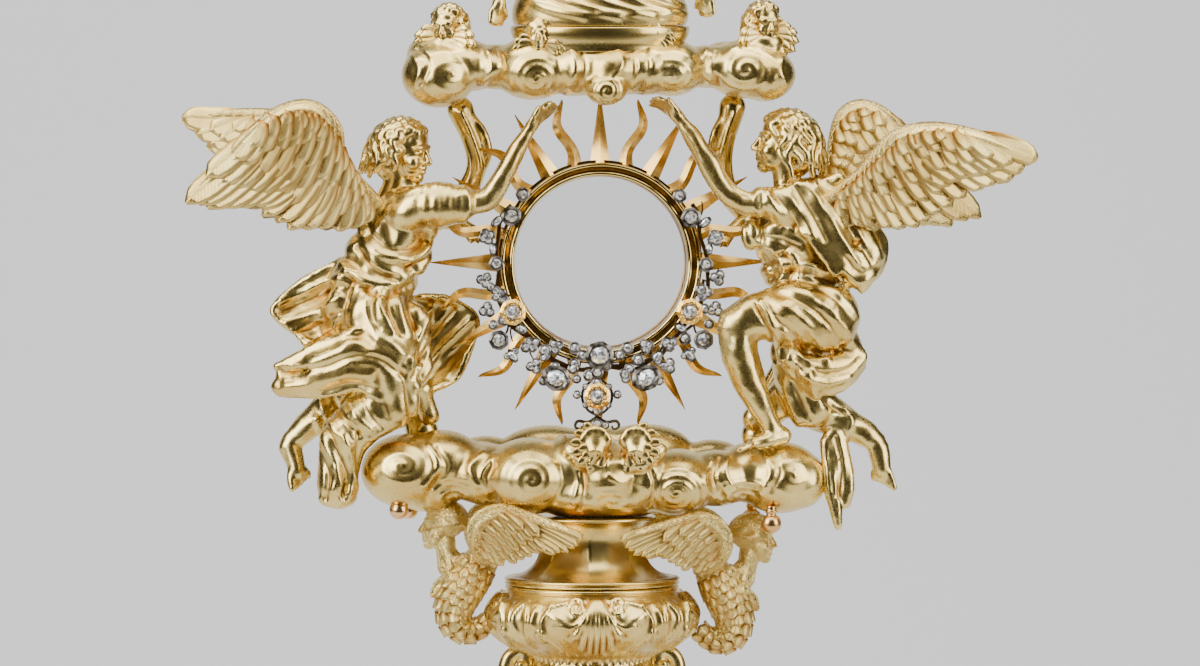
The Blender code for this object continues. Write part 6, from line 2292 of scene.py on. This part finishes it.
def make_crowning_figure():
    base = node_box("crowning_figure")[0][2]
    clay = Clay()
    clay.limb([(-25, -3, 561, 10), (0, -5, 563, 12.5), (25, -3, 561, 10)])
    clay.limb([(-24, 8, 562, 9), (0, 9, 563, 12), (24, 8, 562, 9)])
    clay.limb([(0, 1, 571, 18.5), (0, 1, 588, 14.5), (0, 0, 602, 13), (0, 0, 610, 9)])
    clay.ball((0, 0, 603), (19, 11.5, 8.5))
    clay.limb([(-12, -9, 567, 8.5), (8, -12, 580, 7.6), (17, -7, 598, 6.6)])
    clay.limb([(0, 0, 612, 6.0), (0, -1, 626, 5.6)])
    for side in (-1, 1):
        clay.limb([(side * 14, 0, 605, 8), (side * 24, -2, 596, 7.8), (side * 34, -6, 584, 7.4)])
        clay.limb([(side * 33, -4, 582, 6.8), (side * 31, 2, 573, 7.4), (side * 29, 3, 564, 7)])
        clay.limb([(side * 34, -6, 584, 6.6), (side * 40, -9, 575, 6.4), (side * 43.4, -10, 569, 5.4)])
        clay.limb([(side * 42.6, -10, 571, 3.6), (side * 44.6, -12, 564.6, 3.0)])
        drop = 4 if side < 0 else 0
        wrist, knuckles = (side * 44.4, -12, 565 - drop), (side * 46, -13.6, 560 - drop)
        add_hand(clay, wrist, knuckles, (side * 46.4, -14, 553 - drop), (side * 1.7, -1.2, 0.2), 1.25)
    clay.sheet(
        [(-24, -8, 596), (-10, -14, 588), (6, -16, 582), (20, -12, 578)],
        [(-20, -14, 572), (-8, -18, 566), (8, -19, 562), (24, -14, 563)], 2.6, -3.0, 0.0, 1.0, 2.4,
    )
    figure = clay.skin("crowning_figure", 0.95, 5)
    chaser = Chaser(figure)
    folds = [
        (1.3, 3.6, [(-34 + i * 11, 563 - i % 2), (-24 + i * 11, 557), (-12 + i * 11, 553)])
        for i in range(5)
    ]
    folds += [
        (-1.1, 2.4, [(-30 + i * 11, 566), (-19 + i * 11, 560.5), (-7 + i * 11, 556.5)])
        for i in range(4)
    ]
    folds += [
        (1.0 if i % 2 else -1.0, 2.6, [(-11 + i * 5.6, 603), (-12 + i * 6.0, 588), (-20 + i * 7.6, 571)])
        for i in range(5)
    ]
    for side in (-1, 1):
        folds += [
            (
                1.0 if i % 2 else -1.0, 2.0,
                [(side * (18 + i * 4), 601 - i * 4), (side * (22 + i * 3.4), 590 - i * 4)],
            )
            for i in range(5)
        ]
        folds += [
            (1.0 if i % 2 else -1.0, 2.0, [(side * (26 + i * 3), 582), (side * (26 + i * 2.6), 566)])
            for i in range(4)
        ]
    chaser.folds(folds)
    points = chaser.points
    inside = (points[:, 2] < base + 0.6) & (np.abs(points[:, 0]) < 39)
    points[inside, 2] = base
    chaser.mesh.vertices.foreach_set("co", points.ravel())
    chaser.mesh.update()
    thin(mark_hollows(figure, 2.0, 12), 0.5)
    curls = {"seed": 71, "length": 15.0, "lowest": -16.0, "count": 90, "weight": 1.3}
    head = make_head("crown_head", (0, -1, 638.6), 26, 0, -4, 0.6, crown_beard, **curls)
    hem = [
        (31, base + 17), (35, base + 14), (37.6, base + 10), (38.6, base + 5.6), (38.5, base + 2),
        (37.8, base),
    ]
    hem = turned("crowning_hem", hem, 160, 8, 0.7)
    chaser = Chaser(hem)
    sweeps = [
        (1.0, 3.2, [(-36 + i * 15, base + 14), (-25 + i * 15, base + 8), (-8 + i * 15, base + 4)])
        for i in range(5)
    ]
    sweeps += [
        (-0.8, 2.0, [(-31 + i * 15, base + 15), (-19 + i * 15, base + 10), (-3 + i * 15, base + 6)])
        for i in range(4)
    ]
    chaser.folds(sweeps)
    mark_hollows(hem, 1.6, 6)
    figure = join("crowning_cast", [figure, head, hem])
    return finish(figure, GILT_CAST, "crowning_figure", shift=CASE_X)


make_crowning_figure()

# %% [markdown]
# ## The studio
# Polished gold shows its room more than itself. A pale sweep stands behind and under the piece. Large soft
# boxes hang to the left, to the right and above, and the dark gap between them, where the viewer stands,
# gives the olive-brown reflections that make the swells read as metal. The paper is see-through from behind
# and the room is pale to the eye on every side, so the piece can be walked round.

# %% Floor, sweep, lights and camera


SWEEP_HALF_WIDTH, SWEEP_FRONT, FLOOR_DEPTH, CURVE_STEP, WALL_HEIGHT = 1.7, -0.55, 1.25, 0.16, 2.6


def make_backdrop():
    """A floor that curves up into a back wall."""
    bm = bmesh.new()
    edge = bm.edges.new([bm.verts.new((side * SWEEP_HALF_WIDTH, SWEEP_FRONT, 0)) for side in (-1, 1)])
    moves = [(0, FLOOR_DEPTH, 0)]
    moves += [(0, CURVE_STEP * math.cos(a), CURVE_STEP * math.sin(a)) for a in np.linspace(0.1, 1.47, 9)]
    moves.append((0, 0, WALL_HEIGHT))
    for move in moves:
        made = bmesh.ops.extrude_edge_only(bm, edges=[edge])["geom"]
        bmesh.ops.translate(bm, vec=move, verts=[v for v in made if isinstance(v, bmesh.types.BMVert)])
        edge = next(e for e in made if isinstance(e, bmesh.types.BMEdge) and len(e.link_faces) == 1)
    bmesh.ops.recalc_face_normals(bm, faces=bm.faces[:])
    bm.faces.ensure_lookup_table()
    if bm.faces[0].normal.z < 0:
        bmesh.ops.reverse_faces(bm, faces=bm.faces[:])
    mesh = bpy.data.meshes.new("sweep")
    bm.to_mesh(mesh)
    bm.free()
    mesh.shade_smooth()
    sweep = link(bpy.data.objects.new("sweep", mesh))
    paper, _, shader, _ = new_material("sweep_paper")
    shader.inputs["Base Color"].default_value = colour("D6D6D7")
    shader.inputs["Roughness"].default_value = 0.95
    shader.inputs["Specular IOR Level"].default_value = 0.1
    see_through_behind(paper.node_tree, shader)
    mesh.materials.append(paper)


def see_through_behind(tree, shader):
    """The paper vanishes for an eye behind it."""
    behind = add_node(tree, "ShaderNodeNewGeometry").outputs["Backfacing"]
    clear = add_node(tree, "ShaderNodeBsdfTransparent").outputs[0]
    mix = add_node(tree, "ShaderNodeMixShader", {0: behind, 1: shader.outputs[0], 2: clear})
    tree.links.new(mix.outputs[0], tree.nodes["Material Output"].inputs["Surface"])


def soft_box(name, place, aim, width, height, power):
    """A white area light, turned to its aim and out of the eye's sight."""
    data = bpy.data.lights.new(name, "AREA")
    data.shape = "RECTANGLE"
    data.size, data.size_y = width, height
    data.energy = power
    lamp = link(bpy.data.objects.new(name, data))
    lamp.location = place
    lamp.visible_camera = False
    lamp.rotation_euler = (Vector(aim) - Vector(place)).to_track_quat("-Z", "Y").to_euler()


def make_room():
    """An olive dusk for the gold to reflect, and the paper's own pale grey where the eye looks past it."""
    world = bpy.data.worlds.new("room")
    bpy.context.scene.world = world
    world.use_nodes = True
    tree = world.node_tree
    dusk = tree.nodes["Background"]
    dusk.inputs["Color"].default_value = colour("6B6348")
    dusk.inputs["Strength"].default_value = 0.14
    pale = add_node(tree, "ShaderNodeBackground", Color=colour("C8C8C8"), Strength=1.45)
    ray = add_node(tree, "ShaderNodeLightPath").outputs
    rays = {0: ray["Is Camera Ray"], 1: ray["Is Transmission Ray"]}
    seen = add_node(tree, "ShaderNodeMath", rays, operation="MAXIMUM")
    mix = add_node(tree, "ShaderNodeMixShader", {0: seen.outputs[0], 1: dusk.outputs[0], 2: pale.outputs[0]})
    tree.links.new(mix.outputs[0], tree.nodes["World Output"].inputs["Surface"])


def make_studio():
    make_backdrop()
    make_room()
    middle = (0, 0, 0.42)
    soft_box("key_left", (-1.15, -0.85, 1.0), middle, 0.95, 1.4, 34)
    soft_box("fill_right", (1.25, -0.8, 0.8), middle, 0.85, 1.4, 22)
    soft_box("top", (0.0, -0.5, 1.6), middle, 1.6, 0.8, 18)
    soft_box("wall_wash", (0.0, 0.15, 1.9), (0, 0.9, 0.5), 2.4, 0.4, 32)


EYE_DISTANCE, LOOK_HEIGHT, VIEW_WIDTH = 4.0, 0.4138, 0.528  # metres
SENSOR_WIDTH = 36  # mm


def make_camera():
    """A long lens, a little above and to the left of the piece's own front."""
    azimuth, elevation = math.radians(-3.0), math.radians(3.0)
    aim = Vector((CASE_X * MM, 0, LOOK_HEIGHT))
    flat = EYE_DISTANCE * math.cos(elevation)
    eye = aim + Vector((
        flat * math.sin(azimuth), -flat * math.cos(azimuth), EYE_DISTANCE * math.sin(elevation),
    ))
    data = bpy.data.cameras.new("camera")
    data.sensor_width = SENSOR_WIDTH
    data.lens = SENSOR_WIDTH * EYE_DISTANCE / VIEW_WIDTH
    data.clip_end = 20
    camera = link(bpy.data.objects.new("camera", data))
    camera.location = eye
    camera.rotation_euler = (aim - eye).to_track_quat("-Z", "Y").to_euler()
    bpy.context.scene.camera = camera


make_studio()
make_camera()
print("studio set")

# %% [markdown]
# ## Sizes
# The triangles of all the pieces are counted.

# %% Finish
print("triangles in all:", sum(tally.values()))
